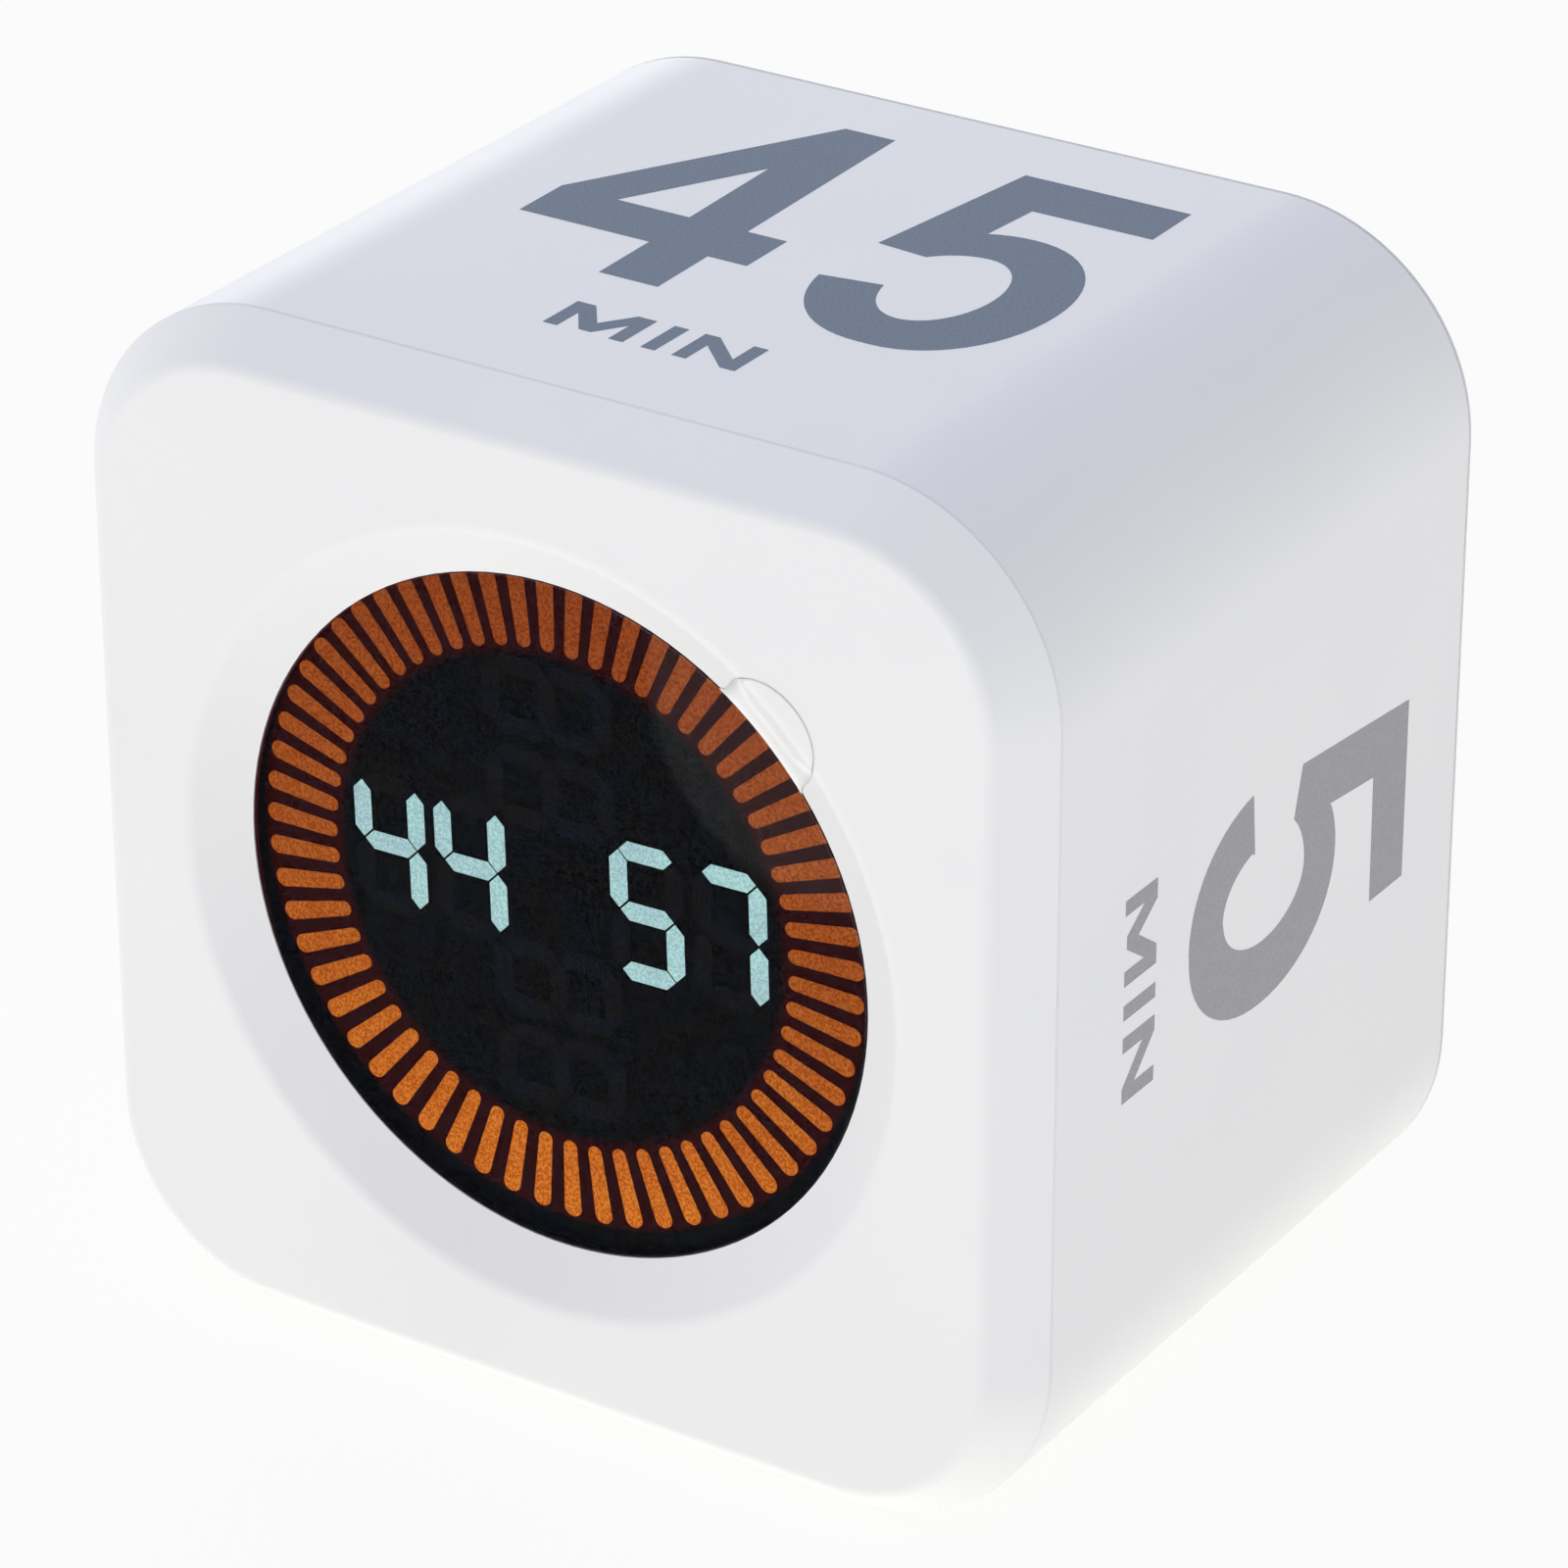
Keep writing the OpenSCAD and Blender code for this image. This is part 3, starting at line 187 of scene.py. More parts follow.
# Moulded looks: dark and light colour, range of roughness, grain, relief, and patches if not PLAIN_PATCH
MOULDED_LOOKS = {
    "white_plastic": ((0.855, 0.855, 0.86), (0.87, 0.87, 0.872), (0.36, 0.46), 0.25, 0.004),
    "button_plastic": ((0.80, 0.80, 0.81), (0.83, 0.83, 0.835), (0.36, 0.46), 0.25, 0.004),
    "colour_film": ((0.55, 0.22, 0.08), (0.65, 0.27, 0.1), (0.4, 0.5), 0.5, 0.002),
    "white_sheet": ((0.88, 0.88, 0.88), (0.93, 0.93, 0.93), (0.5, 0.6), 0.3, 0.003),
    "lamp": ((0.85, 0.78, 0.45), (0.95, 0.88, 0.55), (0.3, 0.4), 0.3, 0.003, 1.0),
    "tray_plastic": ((0.78, 0.78, 0.75), (0.84, 0.84, 0.81), (0.5, 0.6), 0.4, 0.006),
    "contact_rubber": ((0.3, 0.3, 0.33), (0.5, 0.5, 0.54), (0.6, 0.75), 0.2, 0.006, 0.4),
    "foam": ((0.006, 0.006, 0.007), (0.02, 0.02, 0.022), (0.85, 0.95), 0.35, 0.04, 1.0),
    "circuit_board": ((0.008, 0.06, 0.022), (0.016, 0.10, 0.036), (0.35, 0.5), 0.3, 0.006, 3.0),
    "black_plastic": ((0.008, 0.008, 0.009), (0.016, 0.016, 0.018), (0.42, 0.55), 0.25, 0.006),
    "ivory_plastic": ((0.78, 0.72, 0.58), (0.84, 0.79, 0.66), (0.42, 0.52), 0.3, 0.005),
    "wire_sleeve": ((0.42, 0.012, 0.01), (0.5, 0.02, 0.015), (0.35, 0.45), 0.3, 0.004),
    "ribbon_plastic": ((0.72, 0.72, 0.75), (0.82, 0.82, 0.85), (0.3, 0.4), 0.4, 0.003),
    "slate_ink": ((0.107, 0.147, 0.214), (0.145, 0.197, 0.278), (0.5, 0.6), 0.12, 0.003, 0.16),
    "grey_ink": ((0.315, 0.311, 0.333), (0.365, 0.361, 0.385), (0.5, 0.6), 0.12, 0.003, 0.16),
}

# Brushed looks: dark and light colour, range of roughness, and how much finer the streaks are along each axis
BRUSHED_LOOKS = {
    "steel": ((0.50, 0.51, 0.53), (0.62, 0.63, 0.65), (0.22, 0.36), (1, 1, 12)),
    "battery_foil": ((0.55, 0.57, 0.60), (0.68, 0.70, 0.73), (0.3, 0.42), (8, 1, 1)),
}

# Clear looks: tint, refraction, and range of roughness
CLEAR_LOOKS = {
    "clear_window": ((0.97, 0.975, 0.98), 1.06, (0.03, 0.06)),
    "display_glass": ((0.97, 0.98, 0.98), 1.05, (0.02, 0.05)),
    "clear_acrylic": ((0.93, 0.96, 0.97), 1.45, (0.03, 0.07)),
}

# Dark looks of the display, which glow with painted light that stands in for the room light falling on them,
# and with a trace of the bars' backlight: dark and light grain of the painted light, and what the bars add
# round them
DARK_LOOKS = {
    "display_black": ((0.0, 0.0, 0.0002), (0.0045, 0.0055, 0.0078), (0.0185, 0.0, 0.0)),
    "unlit_segments": ((0.0022, 0.0025, 0.0039), (0.0066, 0.0074, 0.0108), (0.0, 0.0, 0.0)),
}

# Lit looks of the display: colours from the bottom up, height of bottom and top, and dark and light grain
LIT_LOOKS = {
    "orange_segments": (
        ((0.66, 0.168, 0.017), (0.375, 0.083, 0.012), (0.27, 0.052, 0.010)),
        (11.0, 49.0),
        ((0.74, 0.55, 0.30), (1.26, 1.45, 1.80)),
    ),
    "pale_segments": (
        ((0.42, 0.64, 0.65), (0.41, 0.63, 0.64), (0.40, 0.62, 0.63)),
        (26.0, 36.0),
        ((0.82, 0.84, 0.84), (1.18, 1.16, 1.16)),
    ),
}


def add(tree, kind, inputs=None, **settings):
    """Node of a kind with its settings, and its inputs set to values or joined to other nodes' outputs."""
    node = tree.nodes.new(kind)
    for key, value in settings.items():
        setattr(node, key, value)
    for key, value in (inputs or {}).items():
        if isinstance(value, bpy.types.NodeSocket):
            tree.links.new(value, node.inputs[key])
        else:
            node.inputs[key].default_value = value
    return node


def math_node(tree, operation, *values):
    """Result of an operation on values or on other nodes' outputs."""
    return add(tree, "ShaderNodeMath", dict(enumerate(values)), operation=operation).outputs[0]


def mix_colours(tree, way, share, first, second):
    """First colour with a share of the second mixed in, added or multiplied."""
    inputs = {0: share, 6: first, 7: second}
    return add(tree, "ShaderNodeMix", inputs, data_type="RGBA", blend_type=way).outputs[2]


def mix_shaders(tree, share, first, second):
    """First shader with a share of the second."""
    return add(tree, "ShaderNodeMixShader", {0: share, 1: first.outputs[0], 2: second.outputs[0]})


def show(name, mesh, *materials):
    """Object for a mesh that is already in its place."""
    indices = [face.material_index for face in mesh.polygons]
    mesh.materials.clear()
    for material in materials:
        mesh.materials.append(material)
    mesh.polygons.foreach_set("material_index", [min(index, len(materials) - 1) for index in indices])
    piece = bpy.data.objects.new(name, mesh)
    bpy.context.scene.collection.objects.link(piece)
    return piece


def settled_mesh(name, piece):
    """Plain mesh of an object with its modifiers applied. The object is removed."""
    layers = bpy.context.evaluated_depsgraph_get()
    mesh = bpy.data.meshes.new_from_object(piece.evaluated_get(layers), depsgraph=layers)
    mesh.name = name
    bpy.data.objects.remove(piece)
    return mesh


def joined_shape(node):
    """Copy of a solid whose triangles are joined into flat faces."""
    shape = bmesh.new()
    shape.from_mesh(frame["nodes"][node].data)
    bmesh.ops.remove_doubles(shape, verts=shape.verts, dist=CAD_WELD * MM)
    flat = math.radians(FLAT_ANGLE)
    bmesh.ops.dissolve_limit(shape, angle_limit=flat, verts=shape.verts, edges=shape.edges)
    return shape


def shape_mesh(name, shape):
    """Mesh of a shape, which is then freed."""
    mesh = bpy.data.meshes.new(name)
    shape.to_mesh(mesh)
    shape.free()
    return mesh


def bend(middle, reach, start, end, steps=14, fullness=1.0):
    """Points of an elliptical bend between two angles. A fullness above 1 makes its shoulders squarer."""
    points = []
    for step in range(steps + 1):
        a = math.radians(start + (end - start) * step / steps)
        x, y = (math.copysign(abs(part) ** (1 / fullness), part) for part in (math.cos(a), math.sin(a)))
        points.append((middle[0] + reach[0] * x, middle[1] + reach[1] * y))
    return points


# Finishes


def start_finish(name):
    """Empty material with its node tree and a place on the piece to draw patterns from."""
    material = bpy.data.materials.new(name)
    material.use_nodes = True
    tree = material.node_tree
    tree.nodes.clear()
    place = add(tree, "ShaderNodeTexCoord").outputs["Object"]
    return material, tree, place


def end_finish(tree, shader):
    """Join a shader to the material's output."""
    add(tree, "ShaderNodeOutputMaterial", {"Surface": shader.outputs[0]})


def noise(tree, place, size, detail=2.0):
    """Noise whose patches are about a size in millimetres."""
    inputs = {"Vector": place, "Scale": 1 / (size * MM), "Detail": detail}
    return add(tree, "ShaderNodeTexNoise", inputs).outputs["Fac"]


def two_tone(tree, factor, dark, light, low=0.35, high=0.65):
    """Colour that goes from dark to light as a factor goes from low to high."""
    ramp = add(tree, "ShaderNodeValToRGB", {"Fac": factor})
    first, last = ramp.color_ramp.elements
    first.position, first.color = low, (*dark, 1)
    last.position, last.color = high, (*light, 1)
    return ramp.outputs["Color"]


def remap(tree, value, start, end, low, high):
    """Value that goes from low to high as another goes from start to end."""
    inputs = {"Value": value, "From Min": start, "From Max": end, "To Min": low, "To Max": high}
    return add(tree, "ShaderNodeMapRange", inputs).outputs["Result"]


def spread(tree, factor, low, high):
    """Factor mapped from its middle half to a range of values."""
    return remap(tree, factor, 0.25, 0.75, low, high)


def step_up(tree, length, start, end, low, high):
    """Value that goes from low to high as a length in metres goes between two lengths in millimetres."""
    return remap(tree, length, start * MM, end * MM, low, high)


def relief(tree, factor, height):
    """Bump of a height in millimetres."""
    return add(tree, "ShaderNodeBump", {"Height": factor, "Distance": height * MM}).outputs["Normal"]


def moulded(name, dark, light, roughness, grain, height, patch=PLAIN_PATCH):
    """Moulded or painted surface: soft patches of colour, and a fine grain in gloss and relief."""
    material, tree, place = start_finish(name)
    fine = noise(tree, place, grain)
    inputs = {
        "Base Color": two_tone(tree, noise(tree, place, patch, detail=3.0), dark, light),
        "Roughness": spread(tree, fine, *roughness),
        "Normal": relief(tree, fine, height),
    }
    end_finish(tree, add(tree, "ShaderNodeBsdfPrincipled", inputs))
    return material


def brushed(name, dark, light, roughness, stretch):
    """Plated metal with fine streaks along one direction."""
    material, tree, place = start_finish(name)
    drawn = add(tree, "ShaderNodeMapping", {"Vector": place, "Scale": stretch}).outputs["Vector"]
    streaks = noise(tree, drawn, STREAK_SIZE, detail=3.0)
    inputs = {
        "Base Color": two_tone(tree, streaks, dark, light),
        "Metallic": 1.0,
        "Roughness": spread(tree, streaks, *roughness),
        "Normal": relief(tree, streaks, STREAK_RELIEF),
    }
    end_finish(tree, add(tree, "ShaderNodeBsdfPrincipled", inputs))
    return material


def clear_sheet(name, tint, ior, roughness):
    """Thin clear sheet: a tinted see-through body with a gloss that grows at grazing angles.

    A ray that leaves the sheet meets the inverse refraction, so that none is held inside.
    """
    material, tree, place = start_finish(name)
    haze = noise(tree, place, HAZE_SIZE)
    through = add(tree, "ShaderNodeBsdfTransparent", {"Color": (*tint, 1)})
    inputs = {
        "Base Color": (1, 1, 1, 1),
        "Metallic": 1.0,
        "Roughness": spread(tree, haze, *roughness),
        "Normal": relief(tree, haze, SHEET_RELIEF),
    }
    gloss = add(tree, "ShaderNodeBsdfPrincipled", inputs)
    leaving = add(tree, "ShaderNodeNewGeometry").outputs["Backfacing"]
    either_way = math_node(tree, "POWER", ior, math_node(tree, "MULTIPLY_ADD", leaving, -2.0, 1.0))
    grazing = add(tree, "ShaderNodeFresnel", {"IOR": either_way}).outputs[0]
    end_finish(tree, mix_shaders(tree, grazing, through, gloss))
    return material


def part_clear(tree, share, surface):
    """See-through sheet with a share of a solid surface on it."""
    through = add(tree, "ShaderNodeBsdfTransparent", {"Color": (1, 1, 1, 1)})
    body = add(tree, "ShaderNodeBsdfPrincipled", surface)
    end_finish(tree, mix_shaders(tree, share, through, body))


def front_distance(tree, place, x, z):
    """Distance, seen from the front, from a place given from the middle of the front."""
    flat = add(tree, "ShaderNodeVectorMath", {0: place, 1: (1, 0, 1)}, operation="MULTIPLY").outputs[0]
    middle = (x * MM, 0, (MIDDLE_Z + z) * MM)
    return add(tree, "ShaderNodeVectorMath", {0: flat, 1: middle}, operation="DISTANCE").outputs["Value"]


def film_finish(name):
    """Clear film with a pale veil where air is under it, and a frosted pull tab."""
    material, tree, place = start_finish(name)
    angle = math.radians(VEIL_ANGLE)
    lifted = front_distance(tree, place, VEIL_DISTANCE * math.cos(angle), VEIL_DISTANCE * math.sin(angle))
    veil_end = (VEIL_RADIUS - VEIL_BLUR, VEIL_RADIUS + VEIL_BLUR)
    veil = step_up(tree, lifted, *veil_end, VEIL_SHARE, CLEAR_SHARE)
    radius = front_distance(tree, place, 0, 0)
    off_disc = step_up(tree, radius, DISPLAY_RADIUS, DISPLAY_RADIUS + FROST_BLUR, 0.0, 1.0)
    frost = math_node(tree, "MULTIPLY", off_disc, FROST_SHARE)
    wrinkle = noise(tree, place, WRINKLE_SIZE)
    white = two_tone(tree, wrinkle, *FROST_TONES)
    surface = {
        "Base Color": mix_colours(tree, "MIX", off_disc, (*VEIL_COLOUR, 1), white),
        "Roughness": spread(tree, wrinkle, 0.25, 0.35),
        "Normal": relief(tree, wrinkle, SHEET_RELIEF),
    }
    part_clear(tree, math_node(tree, "MAXIMUM", veil, frost), surface)
    return material


def film_edge_finish(name):
    """Cut edge of the film, which shows as a thin grey line."""
    material, tree, place = start_finish(name)
    fine = noise(tree, place, EDGE_GRAIN)
    surface = {
        "Base Color": two_tone(tree, fine, *FILM_EDGE_TONES),
        "Roughness": spread(tree, fine, 0.4, 0.5),
    }
    part_clear(tree, FILM_EDGE_SHARE, surface)
    return material


def dark_segments(name, dark, light, ring):
    """Black or unlit part of the display, which glows with painted light in a grain and patches that stands
    in for the room light falling on it, and with a trace of the backlight at the bars.
    """
    material, tree, place = start_finish(name)
    fine = noise(tree, place, DISPLAY_GRAIN, detail=3.0)
    dots = two_tone(tree, fine, dark, light, 0.4, 0.6)
    patches = two_tone(tree, noise(tree, place, DARK_PATCH), *DARK_PATCH_TINTS)
    # Painted light: a glowing grain and patches that stand in for the room light falling on the display's
    # black
    backlight_and_painted_light = mix_colours(tree, "MULTIPLY", 1.0, dots, patches)
    radius = front_distance(tree, place, *ART_MIDDLE)
    inside = step_up(tree, radius, BAR_OUTER_RADIUS, BAR_OUTER_RADIUS + LEAK_OUTER_BLUR, 1.0, 0.0)
    outside = step_up(tree, radius, BAR_INNER_RADIUS - LEAK_INNER_BLUR, BAR_INNER_RADIUS, 0.0, 1.0)
    at_bars = math_node(tree, "MULTIPLY", inside, outside)
    # The bars' backlight is added to the painted light near the ring
    backlight_and_painted_light = mix_colours(tree, "ADD", at_bars, backlight_and_painted_light, (*ring, 1))
    inputs = {
        "Base Color": backlight_and_painted_light,
        "Roughness": spread(tree, fine, 0.5, 0.6),
        "Specular IOR Level": 0.06,
        "Normal": relief(tree, fine, SHEET_RELIEF),
        "Emission Color": backlight_and_painted_light,
        "Emission Strength": 1.0,
    }
    end_finish(tree, add(tree, "ShaderNodeBsdfPrincipled", inputs))
    return material


def lit_segments(name, glow, heights, grain):
    """Backlit segments whose colour changes with height, with the grain of a printed colour film."""
    material, tree, place = start_finish(name)
    height = add(tree, "ShaderNodeSeparateXYZ", {"Vector": place}).outputs["Z"]
    ramp = add(tree, "ShaderNodeValToRGB", {"Fac": step_up(tree, height, *heights, 0.0, 1.0)})
    ramp.color_ramp.elements.new(0.5)
    for stop, colour in zip(ramp.color_ramp.elements, glow):
        stop.color = (*colour, 1)
    dots = two_tone(tree, noise(tree, place, DISPLAY_GRAIN, detail=3.0), *grain, 0.4, 0.6)
    patches = two_tone(tree, noise(tree, place, LIT_PATCH), *LIT_PATCH_TINTS, 0.3, 0.7)
    light = ramp.outputs["Color"]
    for pattern in (dots, patches):
        light = mix_colours(tree, "MULTIPLY", 1.0, light, pattern)
    inputs = {
        "Base Color": (0.02, 0.012, 0.008, 1),
        "Roughness": spread(tree, noise(tree, place, SEGMENT_GRAIN), 0.45, 0.6),
        "Specular IOR Level": 0.08,
        "Emission Color": light,
        "Emission Strength": 1.0,
    }
    end_finish(tree, add(tree, "ShaderNodeBsdfPrincipled", inputs))
    return material


def build_finishes():
    """One finish for each material slot of the record, and those of inks, unlit segments and film edge."""
    finishes = {}
    for make, looks in (
        (moulded, MOULDED_LOOKS),
        (brushed, BRUSHED_LOOKS),
        (clear_sheet, CLEAR_LOOKS),
        (dark_segments, DARK_LOOKS),
        (lit_segments, LIT_LOOKS),
    ):
        for name, look in looks.items():
            finishes[name] = make(name, *look)
    finishes["clear_film"] = film_finish("clear_film")
    finishes["film_edge"] = film_edge_finish("film_edge")
    return finishes


def dress_solids(finishes):
    """Finish from the record's slot on every solid that stays in sight or inside."""
    for subpart in frame["record"]["subparts"]:
        node = frame["nodes"][subpart["node"]]
        for slot in node.material_slots:
            slot.material = finishes[subpart["material_slot"]]


# Mouldings


def smooth_copy(name, node, finish):
    """Copy of a solid with normals that keep flats flat and curves round."""
    mesh = shape_mesh(name, joined_shape(node))
    if "custom_normal" in mesh.attributes:
        mesh.attributes.remove(mesh.attributes["custom_normal"])
    mesh.shade_smooth()
    mesh.set_sharp_from_angle(angle=math.radians(CREASE_ANGLE))
    draft = show(name + "_draft", mesh, finish)
    draft.modifiers.new("even_normals", "WEIGHTED_NORMAL").keep_sharp = True
    piece = show(name, settled_mesh(name, draft), finish)
    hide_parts(node)
    return piece


def add_mouldings(finishes):
    """Smooth copies of the white mouldings, and of the buttons and the knob on their own bodies."""
    for node in ("front_bezel", "sleeve", "rear_cover"):
        piece = smooth_copy(node + "_moulding", node, finishes["white_plastic"])
        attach(piece, "housing")
    for body, node in (
        ("minute_key", "minute_button"),
        ("second_key", "second_button"),
        ("start_key", "start_button"),
        ("mode_slider", "mode_knob"),
    ):
        piece = smooth_copy(node + "_cap", node, finishes["button_plastic"])
        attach(piece, body)


# Display


def tree_inputs(tree, sockets):
    """Named inputs of a geometry tree, and its group input node."""
    for name, kind in sockets:
        tree.interface.new_socket(name, in_out="INPUT", socket_type="NodeSocket" + kind)
    tree.interface.new_socket("Geometry", in_out="OUTPUT", socket_type="NodeSocketGeometry")
    return add(tree, "NodeGroupInput").outputs


def run_tree(name, tree, base, values):
    """Plain mesh that a geometry tree makes from a base mesh and its named inputs."""
    draft = bpy.data.objects.new(name + "_draft", base)
    bpy.context.scene.collection.objects.link(draft)
    modifier = draft.modifiers.new("nodes", "NODES")
    modifier.node_group = tree
    for item in tree.interface.items_tree:
        if item.name in values:
            modifier[item.identifier] = values[item.name]
    return settled_mesh(name, draft)


def pick(tree, when, plain, other):
    """One of two values: the other where a condition holds."""
    return add(tree, "GeometryNodeSwitch", {0: when, 1: plain, 2: other}, input_type="FLOAT").outputs[0]


def vector(tree, **parts):
    """Vector put together from its X, Y and Z."""
    return add(tree, "ShaderNodeCombineXYZ", parts).outputs[0]


def facing_turn(tree, angle):
    """Turn by an angle that runs against the clock as the display is read."""
    euler = vector(tree, Y=math_node(tree, "MULTIPLY", angle, -1.0))
    return add(tree, "FunctionNodeEulerToRotation", {0: euler}).outputs[0]


def unit_outline(tree, corners):
    """Flat outline with its corners on a circle of radius 1."""
    sizes = {"Vertices": corners, "Radius": 1.0}
    return add(tree, "GeometryNodeMeshCircle", sizes, fill_type="NGON").outputs[0]


def outline_corner(tree):
    """X and Y of a corner of a unit outline."""
    place = add(tree, "GeometryNodeInputPosition").outputs[0]
    corner = add(tree, "ShaderNodeSeparateXYZ", {0: place})
    return corner.outputs["X"], corner.outputs["Y"]


def closed_plate(tree, outline, corner, thickness):
    """Plate whose outline has its corners moved to new places and a thickness towards the front."""
    face = add(tree, "GeometryNodeSetPosition", {"Geometry": outline, "Position": corner}).outputs[0]
    front = add(tree, "GeometryNodeExtrudeMesh", {"Mesh": face, "Offset Scale": thickness})
    back = add(tree, "GeometryNodeFlipFaces", {"Mesh": face})
    both = add(tree, "GeometryNodeJoinGeometry")
    tree.links.new(front.outputs["Mesh"], both.inputs[0])
    tree.links.new(back.outputs["Mesh"], both.inputs[0])
    welded = {"Geometry": both.outputs[0], "Distance": PLATE_WELD * MM}
    return add(tree, "GeometryNodeMergeByDistance", welded).outputs[0]


def finish_tree(tree, instances, material):
    """Instances made real and given their material."""
    real = add(tree, "GeometryNodeRealizeInstances", {"Geometry": instances})
    dressed = add(tree, "GeometryNodeSetMaterial", {"Geometry": real.outputs[0], "Material": material})
    add(tree, "NodeGroupOutput", {"Geometry": dressed.outputs[0]})


def bar_ring_tree():
    """Ring of flat bars that widen outwards, have round ends and stand a little closer at the top."""
    tree = bpy.data.node_groups.new("bar_ring", "GeometryNodeTree")
    sizes = tree_inputs(
        tree,
        [
            ("Bars", "Int"),
            ("Inner Radius", "Float"),
            ("Outer Radius", "Float"),
            ("Inner Width", "Float"),
            ("Outer Width", "Float"),
            ("Thickness", "Float"),
            ("Turn", "Float"),
            ("Crowding", "Float"),
            ("Middle", "Vector"),
            ("Material", "Material"),
        ],
    )
    half_step = (0, 0, math.pi / BAR_CORNERS)
    circle = {"Geometry": unit_outline(tree, BAR_CORNERS), "Rotation": half_step}
    tilted = add(tree, "GeometryNodeTransform", circle).outputs[0]
    x, y = outline_corner(tree)
    sides = {"A": x, "B": 0.0}
    outer = add(tree, "FunctionNodeCompare", sides, data_type="FLOAT", operation="GREATER_THAN").outputs[0]
    inner_half = math_node(tree, "MULTIPLY", sizes["Inner Width"], 0.5)
    outer_half = math_node(tree, "MULTIPLY", sizes["Outer Width"], 0.5)
    near = math_node(tree, "ADD", sizes["Inner Radius"], inner_half)
    far = math_node(tree, "SUBTRACT", sizes["Outer Radius"], outer_half)
    half = pick(tree, outer, inner_half, outer_half)
    end = pick(tree, outer, near, far)
    along = math_node(tree, "MULTIPLY_ADD", x, half, end)
    corner = vector(tree, X=along, Z=math_node(tree, "MULTIPLY", y, half))
    bar = closed_plate(tree, tilted, corner, sizes["Thickness"])
    points = add(tree, "GeometryNodePoints", {"Count": sizes["Bars"], "Position": sizes["Middle"]})
    step = math_node(tree, "DIVIDE", 2 * math.pi, sizes["Bars"])
    number = add(tree, "GeometryNodeInputIndex").outputs[0]
    even = math_node(tree, "MULTIPLY_ADD", number, step, sizes["Turn"])
    turn = math_node(tree, "MULTIPLY_ADD", math_node(tree, "COSINE", even), sizes["Crowding"], even)
    placed_bars = {"Points": points.outputs[0], "Instance": bar, "Rotation": facing_turn(tree, turn)}
    ring = add(tree, "GeometryNodeInstanceOnPoints", placed_bars)
    finish_tree(tree, ring.outputs[0], sizes["Material"])
    return tree


def stroke_tree():
    """Pointed strokes of the digits, one at each point, lying or upright."""
    tree = bpy.data.node_groups.new("digit_strokes", "GeometryNodeTree")
    sizes = tree_inputs(
        tree,
        [
            ("Places", "Geometry"),
            ("Lying Length", "Float"),
            ("Upright Length", "Float"),
            ("Width", "Float"),
            ("Thickness", "Float"),
            ("Turn", "Float"),
            ("Material", "Material"),
        ],
    )
    x, y = outline_corner(tree)
    half = math_node(tree, "MULTIPLY", sizes["Width"], 0.5)
    level = math_node(tree, "ROUND", y)
    shoulder = math_node(tree, "MULTIPLY", math_node(tree, "ABSOLUTE", level), half)
    reach = math_node(tree, "SUBTRACT", math_node(tree, "MULTIPLY", sizes["Lying Length"], 0.5), shoulder)
    along = math_node(tree, "MULTIPLY", math_node(tree, "SIGN", x), reach)
    corner = vector(tree, X=along, Z=math_node(tree, "MULTIPLY", level, half))
    stroke = closed_plate(tree, unit_outline(tree, STROKE_CORNERS), corner, sizes["Thickness"])
    attribute = {"Name": "upright"}
    upright = add(tree, "GeometryNodeInputNamedAttribute", attribute, data_type="FLOAT").outputs[0]
    turn = math_node(tree, "MULTIPLY_ADD", upright, math.pi / 2, sizes["Turn"])
    ratio = math_node(tree, "DIVIDE", sizes["Upright Length"], sizes["Lying Length"])
    longer = math_node(tree, "SUBTRACT", ratio, 1.0)
    stretch = vector(tree, X=math_node(tree, "MULTIPLY_ADD", upright, longer, 1.0), Y=1.0, Z=1.0)
    placed_strokes = {
        "Points": sizes["Places"],
        "Instance": stroke,
        "Rotation": facing_turn(tree, turn),
        "Scale": stretch,
    }
    strokes = add(tree, "GeometryNodeInstanceOnPoints", placed_strokes)
    finish_tree(tree, strokes.outputs[0], sizes["Material"])
    return tree


def cell_place(x, z):
    """Place at the back of the display cell's gap, from a place in the turned drawing."""
    turn = math.radians(ART_TURN)
    across = ART_MIDDLE[0] + x * math.cos(turn) - z * math.sin(turn)
    up = MIDDLE_Z + ART_MIDDLE[1] + x * math.sin(turn) + z * math.cos(turn)
    return Vector((across, CELL_BACK - CELL_CLEARANCE, up)) * MM


def add_bar_ring(finishes):
    """Ring of orange bars in the display cell."""
    finish = finishes["orange_segments"]
    sizes = {
        "Bars": BAR_COUNT,
        "Inner Radius": BAR_INNER_RADIUS * MM,
        "Outer Radius": BAR_OUTER_RADIUS * MM,
        "Inner Width": BAR_INNER_WIDTH * MM,
        "Outer Width": BAR_OUTER_WIDTH * MM,
        "Thickness": PLATE_THICKNESS * MM,
        "Turn": math.radians(BAR_TURN),
        "Crowding": math.radians(BAR_CROWDING),
        "Middle": cell_place(0, 0),
        "Material": finish,
    }
    mesh = run_tree("bar_ring", bar_ring_tree(), bpy.data.meshes.new("bar_base"), sizes)
    ring = show("bar_ring", mesh, finish)
    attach(ring, "housing")
    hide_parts("lcd_bars")


def stroke_place(letter):
    """Middle of a stroke in its digit, and whether it stands upright."""
    side, quarter = DIGIT_WIDTH / 2, DIGIT_HEIGHT / 4
    return {
        "a": (0, 2 * quarter, 0),
        "b": (side, quarter, 1),
        "c": (side, -quarter, 1),
        "d": (0, -2 * quarter, 0),
        "e": (-side, -quarter, 1),
        "f": (-side, quarter, 1),
        "g": (0, 0, 0),
    }[letter]


